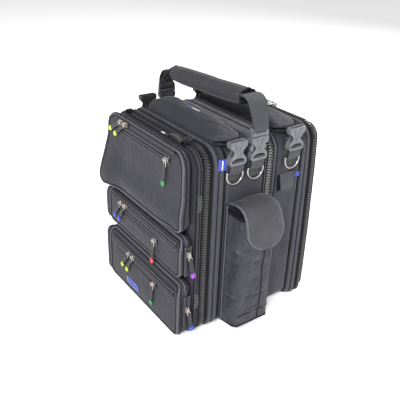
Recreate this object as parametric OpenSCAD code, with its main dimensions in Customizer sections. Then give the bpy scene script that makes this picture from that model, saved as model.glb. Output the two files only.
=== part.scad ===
// Modular flight bag: front cap with three pockets, two centre sections with top lids, and a rear
// cap, joined by heavy zippers. Side pouches, side-release buckles with D-rings, carry handle.
// Frame: +Z up, front faces -Y, origin on the floor under the middle of the whole bag. Millimetres.

/* [Body] */
// Width of the sections, side to side
body_w = 270; // [256:1:290]
// Height of the sections
body_h = 375; // [374:1:377]
// Corner radius of the sections, seen from the front
corner_r = 32; // [24:1:36]
// Padded wall thickness of the sections
wall = 4; // [3:0.5:5]
// Depth of the front cap, face to zipper
front_cap_d = 20; // [18:1:26]
// Depth of the front centre section, zipper to zipper
main_d = 138; // [134:1:150]
// Depth of the rear centre section, zipper to zipper
rear_d = 114; // [104:1:130]
// Depth of the rear cap, zipper to back face
rear_cap_d = 24; // [20:1:30]

/* [Pockets] */
// How far the top, middle and bottom pockets stand out from the front cap
pocket_out = [23, 27, 30]; // [22:1:34]
// Height of each pocket's lower edge above the floor
pocket_z = [232, 138, 8]; // [4:1:240]
// Height of each pocket
pocket_h = [146, 82, 118]; // [80:1:146]
// Width of the pockets
pocket_w = 264; // [250:1:268]
// Fabric thickness of the pockets and pouches
cloth = 2.5; // [2:0.5:4]

/* [Side pouches] */
// How far a pouch stands out from the side
pouch_out = 42; // [34:1:46]
// Front-to-back size of a pouch
pouch_d = 84; // [76:1:88]
// Height of a pouch, without its flap
pouch_h = 252; // [220:1:253]
// How far the flap hangs down over the pouch
flap_drop = 95; // [80:1:110]

/* [Hardware] */
// Width of the buckle webbing
web_w = 29; // [26:1:30]
// Wire radius of a D-ring
ring_r = 1.8; // [1.5:0.1:1.9]
// Length of a zip pull, pin to end
pull_len = 52; // [40:1:54]
// Diameter of the padded handle grip
grip_dia = 36; // [34:1:40]
// Length of the padded handle grip
grip_len = 214; // [190:1:220]
// Height of the grip's centre line above the floor
grip_z = 441; // [438:1:450]

/* [Hidden] */
$fn = 48;

// Zippers. Each half of a perimeter zipper has a tape let into the edge of its section
zip_gap = 0.3;        // from the zipper line to each half
tape_w = 11;          // width of one tape of a perimeter zipper
tape_t = 1.6;         // depth of the recess that the tape fills
tooth_w = 3;          // width of one row of teeth
small_tape_w = 14;    // whole width of a pocket zipper
small_tape_t = 1;     // thickness of a pocket zipper's tape
small_tooth_w = 4;    // width of a closed pocket chain
small_tooth_t = 0.8;  // height of a closed pocket chain

// Sliders and pulls. Each slider has a pin along its zipper, and the pull's eye turns on it
slider_size = [11, 2.4, 9];
slider_gap = 0.4;
pin_r = 1;
pin_fit = 0.1;
pin_len = 10;
pin_out = 4.6;        // from the slider's sole to its pin
eye_r = 2;
eye_len = 4;
link_w = 3.2;
link_len = 8;
strap_size = [6, 1.6];
end_size = [8, 3.6, 12];
heavy = 1.3;          // size of a perimeter slider against a pocket slider

// Stations along the depth, so that the whole bag is centred on Y = 0
front_reach = pocket_out[2] + small_tape_t + small_tooth_t + slider_gap + pin_out + eye_r;
y_face = (front_reach - front_cap_d - main_d - rear_d - rear_cap_d) / 2;
y_zip1 = y_face + front_cap_d;
y_zip2 = y_zip1 + main_d;
y_zip3 = y_zip2 + rear_d;
y_back = y_zip3 + rear_cap_d;
side_x = body_w / 2;

// Pocket zippers, for the top, middle and bottom pockets
gusset_zip_z = [370, 203, 102];
face_zip_z = [354, 182, 86];
gusset_zip_w = 236;
face_zip_x = [[-78, 93], [-84, 60], [-100, 60]];
side_zip_z = [[146, 206], [22, 100]];     // the middle and bottom pockets' side zips
side_zip_y = y_face - 12;
pocket_corner = 16;
top_corner = 30;

// Where each slider is parked: two on the gusset zip, one on the face zip, one on the side zip
slider_x = [[-71, -55, 85], [-74, -58, 52], [-42, -26, 52]];
side_slider_z = [191, 72];
// How far the pulls lean sideways from hanging straight down
pair_lean = [44, 32, 36];
face_lean = 8;
side_lean = -11;
front_slider_x = 85;
rear_slider_x = [-10, 8];

// Top lids, hinged along their front edges
lid_w = 244;
lid_d = 66;
lid_y = [y_zip1 + 26, y_zip2 + 18];
lid_t = 3;
lid_crown = 11;
lid_gap = 0.5;
lid_inset = 7;        // from a lid's edge to the opening under it
lid_corner = 18;

// Buckles: stations along the depth, and heights
buckle_y = [y_zip1 + 52, y_zip1 + 97];
rear_buckle_y = y_zip1 + 183;
receiver_z = 346;     // lower end of a receiver
receiver_h = 42;
receiver_t = 12;
receiver_x = side_x + 10;                 // middle of a receiver's thickness
receiver_half = [17.5, 12.5, 18];         // half width at the bottom, the waist and the top
receiver_step = [10, 20, 30];             // heights where the outline changes
socket = [31.6, 7, 30];                    // width, thickness and depth
bar_r = 2.4;
bar_lift = 3;         // from the receiver's lower end to its webbing bar
slot_h = 9.6;
slot_w = web_w + 1.4;
clip_w = 37;
clip_t = 9;
clip_base_h = 6;
clip_h = 15;
clip_z = receiver_z + receiver_h + 0.4;
clip_bar_r = 2.2;
clip_bar_z = clip_z + clip_h - 3.4;
tongue = [8, 5, 22];                      // the clip's middle guide
prong = [5, 5, 26];                       // one side prong of the clip
prong_y = 12;
thumb = [3.2, 7];                         // how far the thumb pad stands out, and its height

// D-rings hang in loops of the buckle webbing
ring_x = side_x + 8;
ring_z = 331;
ring_in = 17;         // from the middle of the ring to the middle of its wire
ring_leg = 5;
loop_fit = 0.1;
web_t = 2.5;

// Divider and base board of the front section
divider_y = y_zip2 - tape_w - 4;
divider_t = 3;
board_t = 2.5;
board_y = y_zip1 + tape_w + 3;

// Handle straps
strap_w = 32;
strap_t = 3;
strap_x = receiver_x + clip_bar_r + 0.1;  // inner face of the strap above the clip
strap_bend_r = 30;
strap_in_grip_w = 27;

// Pouches, flaps, tabs and the belt loops of the rear section
pouch_y = y_zip1 + 86;
pouch_z = 16;
flap_z = 275;
flap_t = 3;
flap_w = pouch_d + 8;
flap_gap = 4;
tab = [3, 8, 33];
tab_z = [68, 269];
tab_y = y_face + 2;
belt_loop = [9, 37, 33];
belt_loop_z = 264;
belt_loop_y = y_zip1 + 163;

fabric = "#45464c";
panel = "#3a3b40";
trim = "#26272b";
teeth = "#6d6862";
web_grey = "#4c4e54";
plastic = "#8b9196";
steel = "#c9c8c4";
board = "#1c1c1e";
end_yellow = "#c4cf2e";
end_green = "#2f8f3a";
end_blue = "#3a49c4";
end_red = "#d43a4a";
end_violet = "#8a3cc4";

// ---------- shared shapes ----------

// Outline of a rounded rectangle, centred in X, with its lower edge on the X axis
function rounded_points(w, h, r, steps = 6) = [
    for (corner = [0:3], i = [0:steps])
        let (a = 90 * corner + 90 * i / steps,
             x = corner == 0 || corner == 3 ? w / 2 - r : r - w / 2,
             y = corner < 2 ? h - r : r)
        [x + r * cos(a), y + r * sin(a)]
];

// Upright slab with a rounded outline, from y0 to y1, smaller by inset all round
module slab(y0, y1, inset = 0, w = body_w, h = body_h, r = corner_r, z = 0) {
    translate([0, y1, z + inset])
        rotate([90, 0, 0])
            linear_extrude(y1 - y0)
                polygon(rounded_points(w - 2 * inset, h - 2 * inset, r - inset));
}

// Hoop: what lies between two insets
module hoop(y0, y1, outer, inner) {
    difference() {
        slab(y0, y1, outer);
        slab(y0 - 1, y1 + 1, inner);
    }
}

// One half of a perimeter zipper. way is -1 in front of the zipper line and 1 behind it
module perimeter_zip(line, way) {
    y_edge = line + way * zip_gap;
    y_tooth = y_edge + way * tooth_w;
    y_tape = line + way * tape_w;
    color(teeth) hoop(min(y_edge, y_tooth), max(y_edge, y_tooth), 0, tape_t);
    color(trim) hoop(min(y_tooth, y_tape), max(y_tooth, y_tape), tape_t / 2, tape_t);
}

// Recess in the edge of a section for the zipper tape, between y0 and y1
module tape_recess(y0, y1) {
    hoop(y0, y1, -2, tape_t);
}

// Things that are on both sides of the bag
module both_sides() {
    children();
    mirror([1, 0, 0]) children();
}

// Open hoop of a centre section, with the hole under its lid
module centre_section(y0, y1, lid_front) {
    hole_w = lid_w - 2 * lid_inset - 20;
    difference() {
        hoop(y0 + zip_gap, y1 - zip_gap, 0, wall);
        tape_recess(y0 - 1, y0 + tape_w);
        tape_recess(y1 - tape_w, y1 + 1);
        translate([-hole_w / 2, lid_front + lid_inset, body_h - wall - 1])
            cube([hole_w, lid_d - 2 * lid_inset, wall + 2]);
    }
}

// Crowned lid, its hinge edge on the X axis
module lid(front) {
    crown_r = (lid_d * lid_d / 4 + lid_crown * lid_crown) / (2 * lid_crown);
    crown_z = lid_t + lid_crown - crown_r;
    translate([0, front, body_h + lid_gap])
        difference() {
            intersection() {
                linear_extrude(lid_t + lid_crown)
                    polygon(rounded_points(lid_w, lid_d, lid_corner));
                translate([-lid_w, lid_d / 2, crown_z])
                    rotate([0, 90, 0]) cylinder(r = crown_r, h = 2 * lid_w);
            }
            translate([lid_t - lid_w / 2, lid_d / 2, crown_z - lid_t])
                rotate([0, 90, 0]) cylinder(r = crown_r, h = lid_w - 2 * lid_t);
        }
}

// Pocket shell number i, open where the front cap closes it
module pocket(i) {
    r = i == 0 ? top_corner : pocket_corner;
    color(fabric)
        difference() {
            slab(y_face - pocket_out[i], y_face, 0, pocket_w, pocket_h[i], r, pocket_z[i]);
            slab(y_face - pocket_out[i] + cloth, y_face + 1, cloth, pocket_w, pocket_h[i], r,
                 pocket_z[i]);
        }
}

// Closed pocket zipper lying on a face at y, from x0 to x1, in front of it
module flat_zip(x0, x1, y, z) {
    color(trim)
        translate([x0, y - small_tape_t, z - small_tape_w / 2])
            cube([x1 - x0, small_tape_t, small_tape_w]);
    color(teeth)
        translate([x0, y - small_tape_t - small_tooth_t, z - small_tooth_w / 2])
            cube([x1 - x0, small_tooth_t, small_tooth_w]);
}

// Slider in front of the XZ plane, with its pin along X through the origin
module slider() {
    sole = pin_out - slider_size[1];
    color(steel) {
        translate([-slider_size[0] / 2, sole, -slider_size[2] / 2]) cube(slider_size);
        for (side = [-1, 1])
            translate([side * (pin_len / 2 - 0.8) - 0.8, -pin_r, -pin_r])
                cube([1.6, sole + pin_r + 0.2, 2 * pin_r]);
        rotate([0, 90, 0]) cylinder(r = pin_r, h = pin_len, center = true);
    }
}

// Zip pull on a pin along X through the origin, leaning towards -X by lean degrees
module pull(lean, end_colour) {
    difference() {
        union() {
            color(steel) {
                rotate([0, 90, 0]) cylinder(r = eye_r, h = eye_len, center = true);
                rotate([0, lean, 0])
                    translate([-link_w / 2, -strap_size[1] / 2, -link_len])
                        cube([link_w, strap_size[1], link_len]);
            }
            color(trim)
                rotate([0, lean, 0])
                    translate([-strap_size[0] / 2, -strap_size[1] / 2, end_size[2] / 2 - pull_len])
                        cube([strap_size[0], strap_size[1], pull_len - link_len - end_size[2] / 2 + 2]);
            color(end_colour)
                rotate([0, lean, 0])
                    translate([0, 0, end_size[0] / 2 - pull_len]) {
                        rotate([90, 0, 0])
                            cylinder(d = end_size[0], h = end_size[1], center = true);
                        translate([-end_size[0] / 2, -end_size[1] / 2, 0])
                            cube([end_size[0], end_size[1], end_size[2] - end_size[0] / 2]);
                    }
        }
        rotate([0, 90, 0]) cylinder(r = pin_r + pin_fit, h = 3 * pin_len, center = true);
    }
}

// Place of the pin of slider k on the front of pocket i: 0 and 1 on the gusset zip, 2 on the face
module at_front_slider(i, k) {
    z = k == 2 ? face_zip_z[i] : gusset_zip_z[i];
    y = y_face - pocket_out[i] - small_tape_t - small_tooth_t - slider_gap - pin_out;
    translate([slider_x[i][k], y, z]) children();
}

// Place of the pin of the side slider of the middle or bottom pocket
module at_side_slider(i) {
    x = pocket_w / 2 + small_tape_t + small_tooth_t + slider_gap + pin_out;
    translate([x, side_zip_y, side_slider_z[i]]) rotate([0, 0, 90]) children();
}

// Heavy slider lying on the top of a perimeter zipper, with a fixed ring pull
module top_slider(x, line) {
    translate([x, line, body_h + slider_gap + heavy * pin_out])
        rotate([-90, 0, 0])
            scale(heavy) {
                slider();
                color(steel)
                    difference() {
                        translate([-2.6, -0.8, -13]) cube([5.2, 1.6, 14]);
                        translate([-1.2, -2, -11.6]) cube([2.4, 4, 8]);
                    }
            }
}

// Half outline of a receiver, mirrored to make the whole
function receiver_side(way) = [
    [way * receiver_half[0], 0],
    [way * receiver_half[0], receiver_step[0]],
    [way * receiver_half[1], receiver_step[1]],
    [way * receiver_half[2], receiver_step[2]],
    [way * receiver_half[2], receiver_h]
];

// Female half of a side-release buckle on the right side, at station y
module receiver(y) {
    left = receiver_side(-1);
    outline = concat(receiver_side(1), [for (i = [4:-1:0]) left[i]]);
    translate([receiver_x - receiver_t / 2, y, receiver_z])
        difference() {
            rotate([90, 0, 90]) linear_extrude(receiver_t) polygon(outline);
            translate([(receiver_t - socket[1]) / 2, -socket[0] / 2, receiver_h - socket[2]])
                cube([socket[1], socket[0], socket[2] + 1]);
            translate([-1, -slot_w / 2, -1]) cube([receiver_t + 2, slot_w, slot_h + 1]);
        }
    translate([receiver_x, y, receiver_z + bar_lift])
        rotate([90, 0, 0]) cylinder(r = bar_r, h = slot_w + 4, center = true);
}

// Webbing that holds a receiver and a D-ring to the right side, at station y
module ring_webbing(y) {
    translate([0, y + web_w / 2, 0])
        difference() {
            union() {
                translate([side_x, -web_w, 320]) cube([web_t, web_w, 46]);
                translate([side_x + 1, -web_w, receiver_z + bar_lift - 2])
                    cube([receiver_x - side_x - 3, web_w, 4]);
                translate([receiver_x - 1.5, -web_w, ring_z + 2])
                    cube([web_t, web_w, receiver_z - ring_z]);
                translate([receiver_x, 0, receiver_z + bar_lift])
                    rotate([90, 0, 0]) cylinder(r = bar_r + web_t, h = web_w);
                translate([ring_x, 0, ring_z])
                    rotate([90, 0, 0]) cylinder(r = ring_r + web_t, h = web_w);
            }
            translate([receiver_x, 1, receiver_z + bar_lift])
                rotate([90, 0, 0]) cylinder(r = bar_r + loop_fit, h = web_w + 2);
            translate([ring_x, 1, ring_z])
                rotate([90, 0, 0]) cylinder(r = ring_r + loop_fit, h = web_w + 2);
        }
}

// D-ring on the right side, at station y
module d_ring(y) {
    color(steel)
        translate([ring_x, y, ring_z]) {
            rotate([90, 0, 0]) cylinder(r = ring_r, h = 2 * ring_in, center = true);
            for (side = [-1, 1]) {
                translate([0, side * ring_in, 0]) sphere(ring_r);
                translate([0, side * ring_in, -ring_leg]) cylinder(r = ring_r, h = ring_leg);
            }
            translate([0, 0, -ring_leg])
                rotate([0, 90, 0]) rotate([0, 0, -90])
                    rotate_extrude(angle = 180) translate([ring_in, 0]) circle(ring_r);
        }
}

// One side prong of the handle's clips, on both sides of the bag. way is -1 in front, 1 behind
module prongs(way) {
    color(plastic)
        both_sides()
            translate([receiver_x, buckle_y[1] + way * prong_y, clip_z - 0.3 - prong[2]]) {
                translate([-prong[1] / 2, -prong[0] / 2, 0]) cube([prong[1], prong[0], prong[2]]);
                translate([-prong[1] / 2, way * (prong[0] + thumb[0]) / 2 - thumb[0] / 2, 0])
                    cube([prong[1], thumb[0], thumb[1]]);
            }
}

// Half of the handle strap above a clip: a loop round the clip's bar, a rise and a bend
module strap_half() {
    arc = [for (i = [0:8]) i * 90 / 8];
    outer = strap_bend_r;
    inner = strap_bend_r - strap_t;
    bend = [strap_x + strap_t - outer, grip_z + strap_t - outer];
    outline = concat(
        [[strap_x, clip_bar_z], [strap_x + strap_t, clip_bar_z]],
        [for (a = arc) [bend[0] + outer * cos(a), bend[1] + outer * sin(a)]],
        [for (a = arc) [bend[0] + inner * sin(a), bend[1] + inner * cos(a)]]
    );
    translate([0, buckle_y[1] + strap_w / 2, 0])
        rotate([90, 0, 0]) linear_extrude(strap_w) polygon(outline);
    translate([receiver_x, buckle_y[1], clip_bar_z])
        rotate([90, 0, 0])
            difference() {
                cylinder(r = strap_x + strap_t - receiver_x, h = strap_w, center = true);
                cylinder(r = clip_bar_r + loop_fit, h = strap_w + 2, center = true);
            }
}

// Pouch on the right side, open at the top
module pouch() {
    color(fabric)
        translate([side_x, pouch_y - pouch_d / 2, pouch_z])
            difference() {
                cube([pouch_out, pouch_d, pouch_h]);
                translate([-1, cloth, cloth]) cube([pouch_out + 1 - cloth, pouch_d - 2 * cloth, pouch_h]);
            }
}

// Flap of the right pouch: a top, and a front with a half-round end
module flap() {
    out = pouch_out + flap_gap + flap_t;
    color(panel)
        translate([side_x + zip_gap, pouch_y, flap_z]) {
            translate([0, -flap_w / 2, -flap_t]) cube([out - zip_gap, flap_w, flap_t]);
            translate([out - zip_gap - flap_t, 0, 0])
                rotate([0, 90, 0]) {
                    translate([0, -flap_w / 2, 0]) cube([flap_drop - flap_w / 2, flap_w, flap_t]);
                    translate([flap_drop - flap_w / 2, 0, 0]) cylinder(d = flap_w, h = flap_t);
                }
        }
}

// ---------- front cap ----------

module front_cap() {
    color(fabric)
        difference() {
            slab(y_face, y_zip1 - zip_gap);
            slab(y_face + wall, y_zip1 + 1, wall);
            tape_recess(y_zip1 - tape_w, y_zip1 + 1);
        }
}

module front_cap_zip_tapes() {
    perimeter_zip(y_zip1, -1);
    for (i = [0:2]) {
        y = y_face - pocket_out[i];
        flat_zip(-gusset_zip_w / 2, gusset_zip_w / 2, y, gusset_zip_z[i]);
        flat_zip(face_zip_x[i][0], face_zip_x[i][1], y, face_zip_z[i]);
    }
    for (span = side_zip_z)
        translate([pocket_w / 2, side_zip_y, 0])
            rotate([0, -90, 90]) flat_zip(span[0], span[1], 0, 0);
}

module front_cap_tabs() {
    color(web_grey)
        both_sides()
            for (z = tab_z)
                translate([side_x, tab_y, z]) cube(tab - [0, 1, 0]);
}

module pocket_top() { pocket(0); }
module pocket_middle() { pocket(1); }
module pocket_bottom() { pocket(2); }

module slider_top_a() { at_front_slider(0, 0) slider(); }
module slider_top_b() { at_front_slider(0, 1) slider(); }
module slider_top_face() { at_front_slider(0, 2) slider(); }
module slider_middle_a() { at_front_slider(1, 0) slider(); }
module slider_middle_b() { at_front_slider(1, 1) slider(); }
module slider_middle_face() { at_front_slider(1, 2) slider(); }
module slider_middle_side() { at_side_slider(0) slider(); }
module slider_bottom_a() { at_front_slider(2, 0) slider(); }
module slider_bottom_b() { at_front_slider(2, 1) slider(); }
module slider_bottom_face() { at_front_slider(2, 2) slider(); }
module slider_bottom_side() { at_side_slider(1) slider(); }

module pull_top_a() { at_front_slider(0, 0) pull(pair_lean[0], end_yellow); }
module pull_top_b() { at_front_slider(0, 1) pull(pair_lean[0], end_yellow); }
module pull_top_face() { at_front_slider(0, 2) pull(face_lean, end_green); }
module pull_middle_a() { at_front_slider(1, 0) pull(pair_lean[1], end_blue); }
module pull_middle_b() { at_front_slider(1, 1) pull(pair_lean[1], end_blue); }
module pull_middle_face() { at_front_slider(1, 2) pull(face_lean, end_red); }
module pull_middle_side() { at_side_slider(0) pull(side_lean, end_violet); }
module pull_bottom_a() { at_front_slider(2, 0) pull(pair_lean[2], end_yellow); }
module pull_bottom_b() { at_front_slider(2, 1) pull(pair_lean[2], end_yellow); }
module pull_bottom_face() { at_front_slider(2, 2) pull(face_lean, end_green); }
module pull_bottom_side() { at_side_slider(1) pull(side_lean, end_blue); }

// ---------- front centre section ----------

module main_section() { color(fabric) centre_section(y_zip1, y_zip2, lid_y[0]); }

module main_zip_tapes() {
    perimeter_zip(y_zip1, 1);
    perimeter_zip(y_zip2, -1);
}

module divider() { color(panel) slab(divider_y - divider_t, divider_y, wall); }

module base_board() {
    board_w = body_w - 2 * corner_r;
    color(board)
        translate([-board_w / 2, board_y, wall])
            cube([board_w, divider_y - divider_t - board_y, board_t]);
}

module main_lid() { color(fabric) lid(lid_y[0]); }
module pouch_right() { pouch(); }
module pouch_left() { mirror([1, 0, 0]) pouch(); }
module flap_right() { flap(); }
module flap_left() { mirror([1, 0, 0]) flap(); }

module buckle_receivers() { color(plastic) both_sides() for (y = buckle_y) receiver(y); }
module buckle_webbing() { color(web_grey) both_sides() for (y = buckle_y) ring_webbing(y); }

module handle_clips() {
    cheek_w = (clip_w - strap_w) / 2 - 0.5;
    color(plastic)
        both_sides()
            translate([receiver_x, buckle_y[1], clip_z]) {
                translate([-clip_t / 2, -clip_w / 2, 0]) cube([clip_t, clip_w, clip_base_h]);
                translate([-tongue[1] / 2, -tongue[0] / 2, -tongue[2]])
                    cube([tongue[1], tongue[0], tongue[2] + 1]);
                for (way = [-1, 1])
                    translate([-3, way * (clip_w - cheek_w) / 2 - cheek_w / 2, 0])
                        cube([6, cheek_w, clip_h]);
                translate([0, 0, clip_bar_z - clip_z])
                    rotate([90, 0, 0]) cylinder(r = clip_bar_r, h = clip_w - cheek_w, center = true);
            }
}

module latch_front() { prongs(-1); }
module latch_rear() { prongs(1); }

module handle_webbing() {
    run = strap_x + strap_t - strap_bend_r;
    color(web_grey) {
        both_sides() strap_half();
        translate([-run, buckle_y[1] - strap_in_grip_w / 2, grip_z])
            cube([2 * run, strap_in_grip_w, strap_t]);
    }
}

module handle_grip() {
    color(panel)
        difference() {
            translate([-grip_len / 2, buckle_y[1], grip_z])
                rotate([0, 90, 0]) cylinder(d = grip_dia, h = grip_len);
            translate([-grip_len, buckle_y[1] - strap_in_grip_w / 2, grip_z])
                cube([2 * grip_len, strap_in_grip_w, strap_t]);
        }
}

module front_zip_slider() { top_slider(front_slider_x, y_zip1); }

module d_ring_right_front() { d_ring(buckle_y[0]); }
module d_ring_right_mid() { d_ring(buckle_y[1]); }
module d_ring_left_front() { mirror([1, 0, 0]) d_ring(buckle_y[0]); }
module d_ring_left_mid() { mirror([1, 0, 0]) d_ring(buckle_y[1]); }

// ---------- rear centre section and rear cap ----------

module rear_section() { color(fabric) centre_section(y_zip2, y_zip3, lid_y[1]); }

module rear_zip_tapes() {
    perimeter_zip(y_zip2, 1);
    perimeter_zip(y_zip3, -1);
}

module rear_lid() { color(fabric) lid(lid_y[1]); }
module rear_buckle_receivers() { color(plastic) both_sides() receiver(rear_buckle_y); }

module rear_webbing() {
    color(web_grey)
        both_sides() {
            ring_webbing(rear_buckle_y);
            translate([side_x, belt_loop_y, belt_loop_z])
                difference() {
                    cube(belt_loop);
                    translate([-1, -1, 4])
                        cube([belt_loop[0] + 1 - web_t, belt_loop[1] + 2, belt_loop[2] - 8]);
                }
        }
}

module d_ring_right_rear() { d_ring(rear_buckle_y); }
module d_ring_left_rear() { mirror([1, 0, 0]) d_ring(rear_buckle_y); }

module rear_cap() {
    color(fabric)
        difference() {
            slab(y_zip3 + zip_gap, y_back);
            slab(y_zip3 - 1, y_back - wall, wall);
            tape_recess(y_zip3 - 1, y_zip3 + tape_w);
        }
}

module rear_cap_zip_tape() { perimeter_zip(y_zip3, 1); }
module rear_slider_a() { top_slider(rear_slider_x[0], y_zip3); }
module rear_slider_b() { top_slider(rear_slider_x[1], y_zip3); }

front_cap();
front_cap_zip_tapes();
front_cap_tabs();
pocket_top();
pocket_middle();
pocket_bottom();
slider_top_a();
slider_top_b();
slider_top_face();
slider_middle_a();
slider_middle_b();
slider_middle_face();
slider_middle_side();
slider_bottom_a();
slider_bottom_b();
slider_bottom_face();
slider_bottom_side();
pull_top_a();
pull_top_b();
pull_top_face();
pull_middle_a();
pull_middle_b();
pull_middle_face();
pull_middle_side();
pull_bottom_a();
pull_bottom_b();
pull_bottom_face();
pull_bottom_side();
main_section();
main_zip_tapes();
divider();
base_board();
main_lid();
pouch_right();
pouch_left();
flap_right();
flap_left();
buckle_receivers();
buckle_webbing();
handle_clips();
latch_front();
latch_rear();
handle_webbing();
handle_grip();
front_zip_slider();
d_ring_right_front();
d_ring_right_mid();
d_ring_left_front();
d_ring_left_mid();
rear_section();
rear_zip_tapes();
rear_lid();
rear_buckle_receivers();
rear_webbing();
d_ring_right_rear();
d_ring_left_rear();
rear_cap();
rear_cap_zip_tape();
rear_slider_a();
rear_slider_b();
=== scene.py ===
"""Modular flight bag: soft fabric, zippers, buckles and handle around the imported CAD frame."""
import math

import bmesh
import bpy
import numpy as np
from mathutils import Matrix, Vector, noise
from mathutils.bvhtree import BVHTree


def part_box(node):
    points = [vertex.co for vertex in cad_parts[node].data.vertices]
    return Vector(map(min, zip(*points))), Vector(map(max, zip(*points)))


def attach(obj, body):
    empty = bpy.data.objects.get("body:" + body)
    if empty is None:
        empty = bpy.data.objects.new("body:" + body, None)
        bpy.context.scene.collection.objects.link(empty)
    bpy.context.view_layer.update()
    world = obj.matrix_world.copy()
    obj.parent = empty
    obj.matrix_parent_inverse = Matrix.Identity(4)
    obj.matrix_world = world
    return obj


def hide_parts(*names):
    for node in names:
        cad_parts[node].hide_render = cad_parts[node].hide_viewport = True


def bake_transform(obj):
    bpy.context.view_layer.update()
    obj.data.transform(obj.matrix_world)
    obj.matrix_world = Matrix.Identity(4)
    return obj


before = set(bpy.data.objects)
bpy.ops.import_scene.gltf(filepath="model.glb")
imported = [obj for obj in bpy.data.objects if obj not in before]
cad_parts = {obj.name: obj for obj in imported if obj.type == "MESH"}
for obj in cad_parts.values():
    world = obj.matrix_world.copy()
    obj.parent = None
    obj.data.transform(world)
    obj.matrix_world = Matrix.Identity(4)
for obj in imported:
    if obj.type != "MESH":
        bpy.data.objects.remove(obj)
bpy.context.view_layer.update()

MM = 0.001

# ---------- places, from the frame ----------
# Shapes are built in millimetres, and done() turns them into metres.


def corners(name):
    """Lowest and highest corner of a CAD node, in millimetres."""
    low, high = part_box(name)
    return np.array(low) / MM, np.array(high) / MM


FACE = corners("front_cap")[0][1]
ZIP1 = corners("front_cap")[1][1] + 0.3
ZIP2 = corners("main_section")[1][1] + 0.3
ZIP3 = corners("rear_section")[1][1] + 0.3
BACK = corners("rear_cap")[1][1]
SIDE_X = corners("main_section")[1][0]
TALL = corners("main_section")[1][2]
AROUND = 240                        # points round a section's outline

# ---------- materials ----------


def new_material(name):
    """An empty material and its shader: (material, node tree, principled shader)."""
    material = bpy.data.materials.new(name)
    material.use_nodes = True
    tree = material.node_tree
    return material, tree, tree.nodes["Principled BSDF"]


def node(tree, kind, inputs=(), **settings):
    """A new node. inputs is {socket: value or an output socket}."""
    made = tree.nodes.new(kind)
    for key, value in settings.items():
        setattr(made, key, value)
    for key, value in dict(inputs).items():
        if isinstance(value, bpy.types.NodeSocket):
            tree.links.new(value, made.inputs[key])
        else:
            made.inputs[key].default_value = value
    return made


def maths(tree, operation, a, b=0.0, clamp=False):
    return node(tree, "ShaderNodeMath", {0: a, 1: b}, operation=operation, use_clamp=clamp).outputs[0]


def mix_colour(tree, factor, a, b):
    made = node(tree, "ShaderNodeMix", data_type="RGBA")
    for socket, value in ((0, factor), (6, a), (7, b)):
        if isinstance(value, bpy.types.NodeSocket):
            tree.links.new(value, made.inputs[socket])
        else:
            made.inputs[socket].default_value = value
    return made.outputs[2]


def surface_uv(tree):
    """Two coordinates that lie in the surface, in metres, whichever way it faces."""
    place = node(tree, "ShaderNodeSeparateXYZ",
                 {0: node(tree, "ShaderNodeTexCoord").outputs["Object"]}).outputs
    facing = node(tree, "ShaderNodeSeparateXYZ",
                  {0: node(tree, "ShaderNodeNewGeometry").outputs["Normal"]}).outputs
    size = [maths(tree, "ABSOLUTE", facing[i]) for i in range(3)]
    sideways = maths(tree, "GREATER_THAN", size[0], maths(tree, "MAXIMUM", size[1], size[2]))
    upwards = maths(tree, "GREATER_THAN", size[2], maths(tree, "MAXIMUM", size[0], size[1]))
    u = node(tree, "ShaderNodeMix", {0: sideways, 2: place[0], 3: place[1]}).outputs[0]
    v = node(tree, "ShaderNodeMix", {0: upwards, 2: place[2], 3: place[1]}).outputs[0]
    return u, v


def weave_height(tree, u, v, pitch):
    """Plain weave: threads that go over and under each other, from 0 to 1."""
    wave = 2 * math.pi / pitch
    product = maths(tree, "MULTIPLY", maths(tree, "SINE", maths(tree, "MULTIPLY", u, wave)),
                    maths(tree, "SINE", maths(tree, "MULTIPLY", v, wave)))
    return node(tree, "ShaderNodeMath", {0: product, 1: 0.5, 2: 0.5}, operation="MULTIPLY_ADD").outputs[0]


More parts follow.
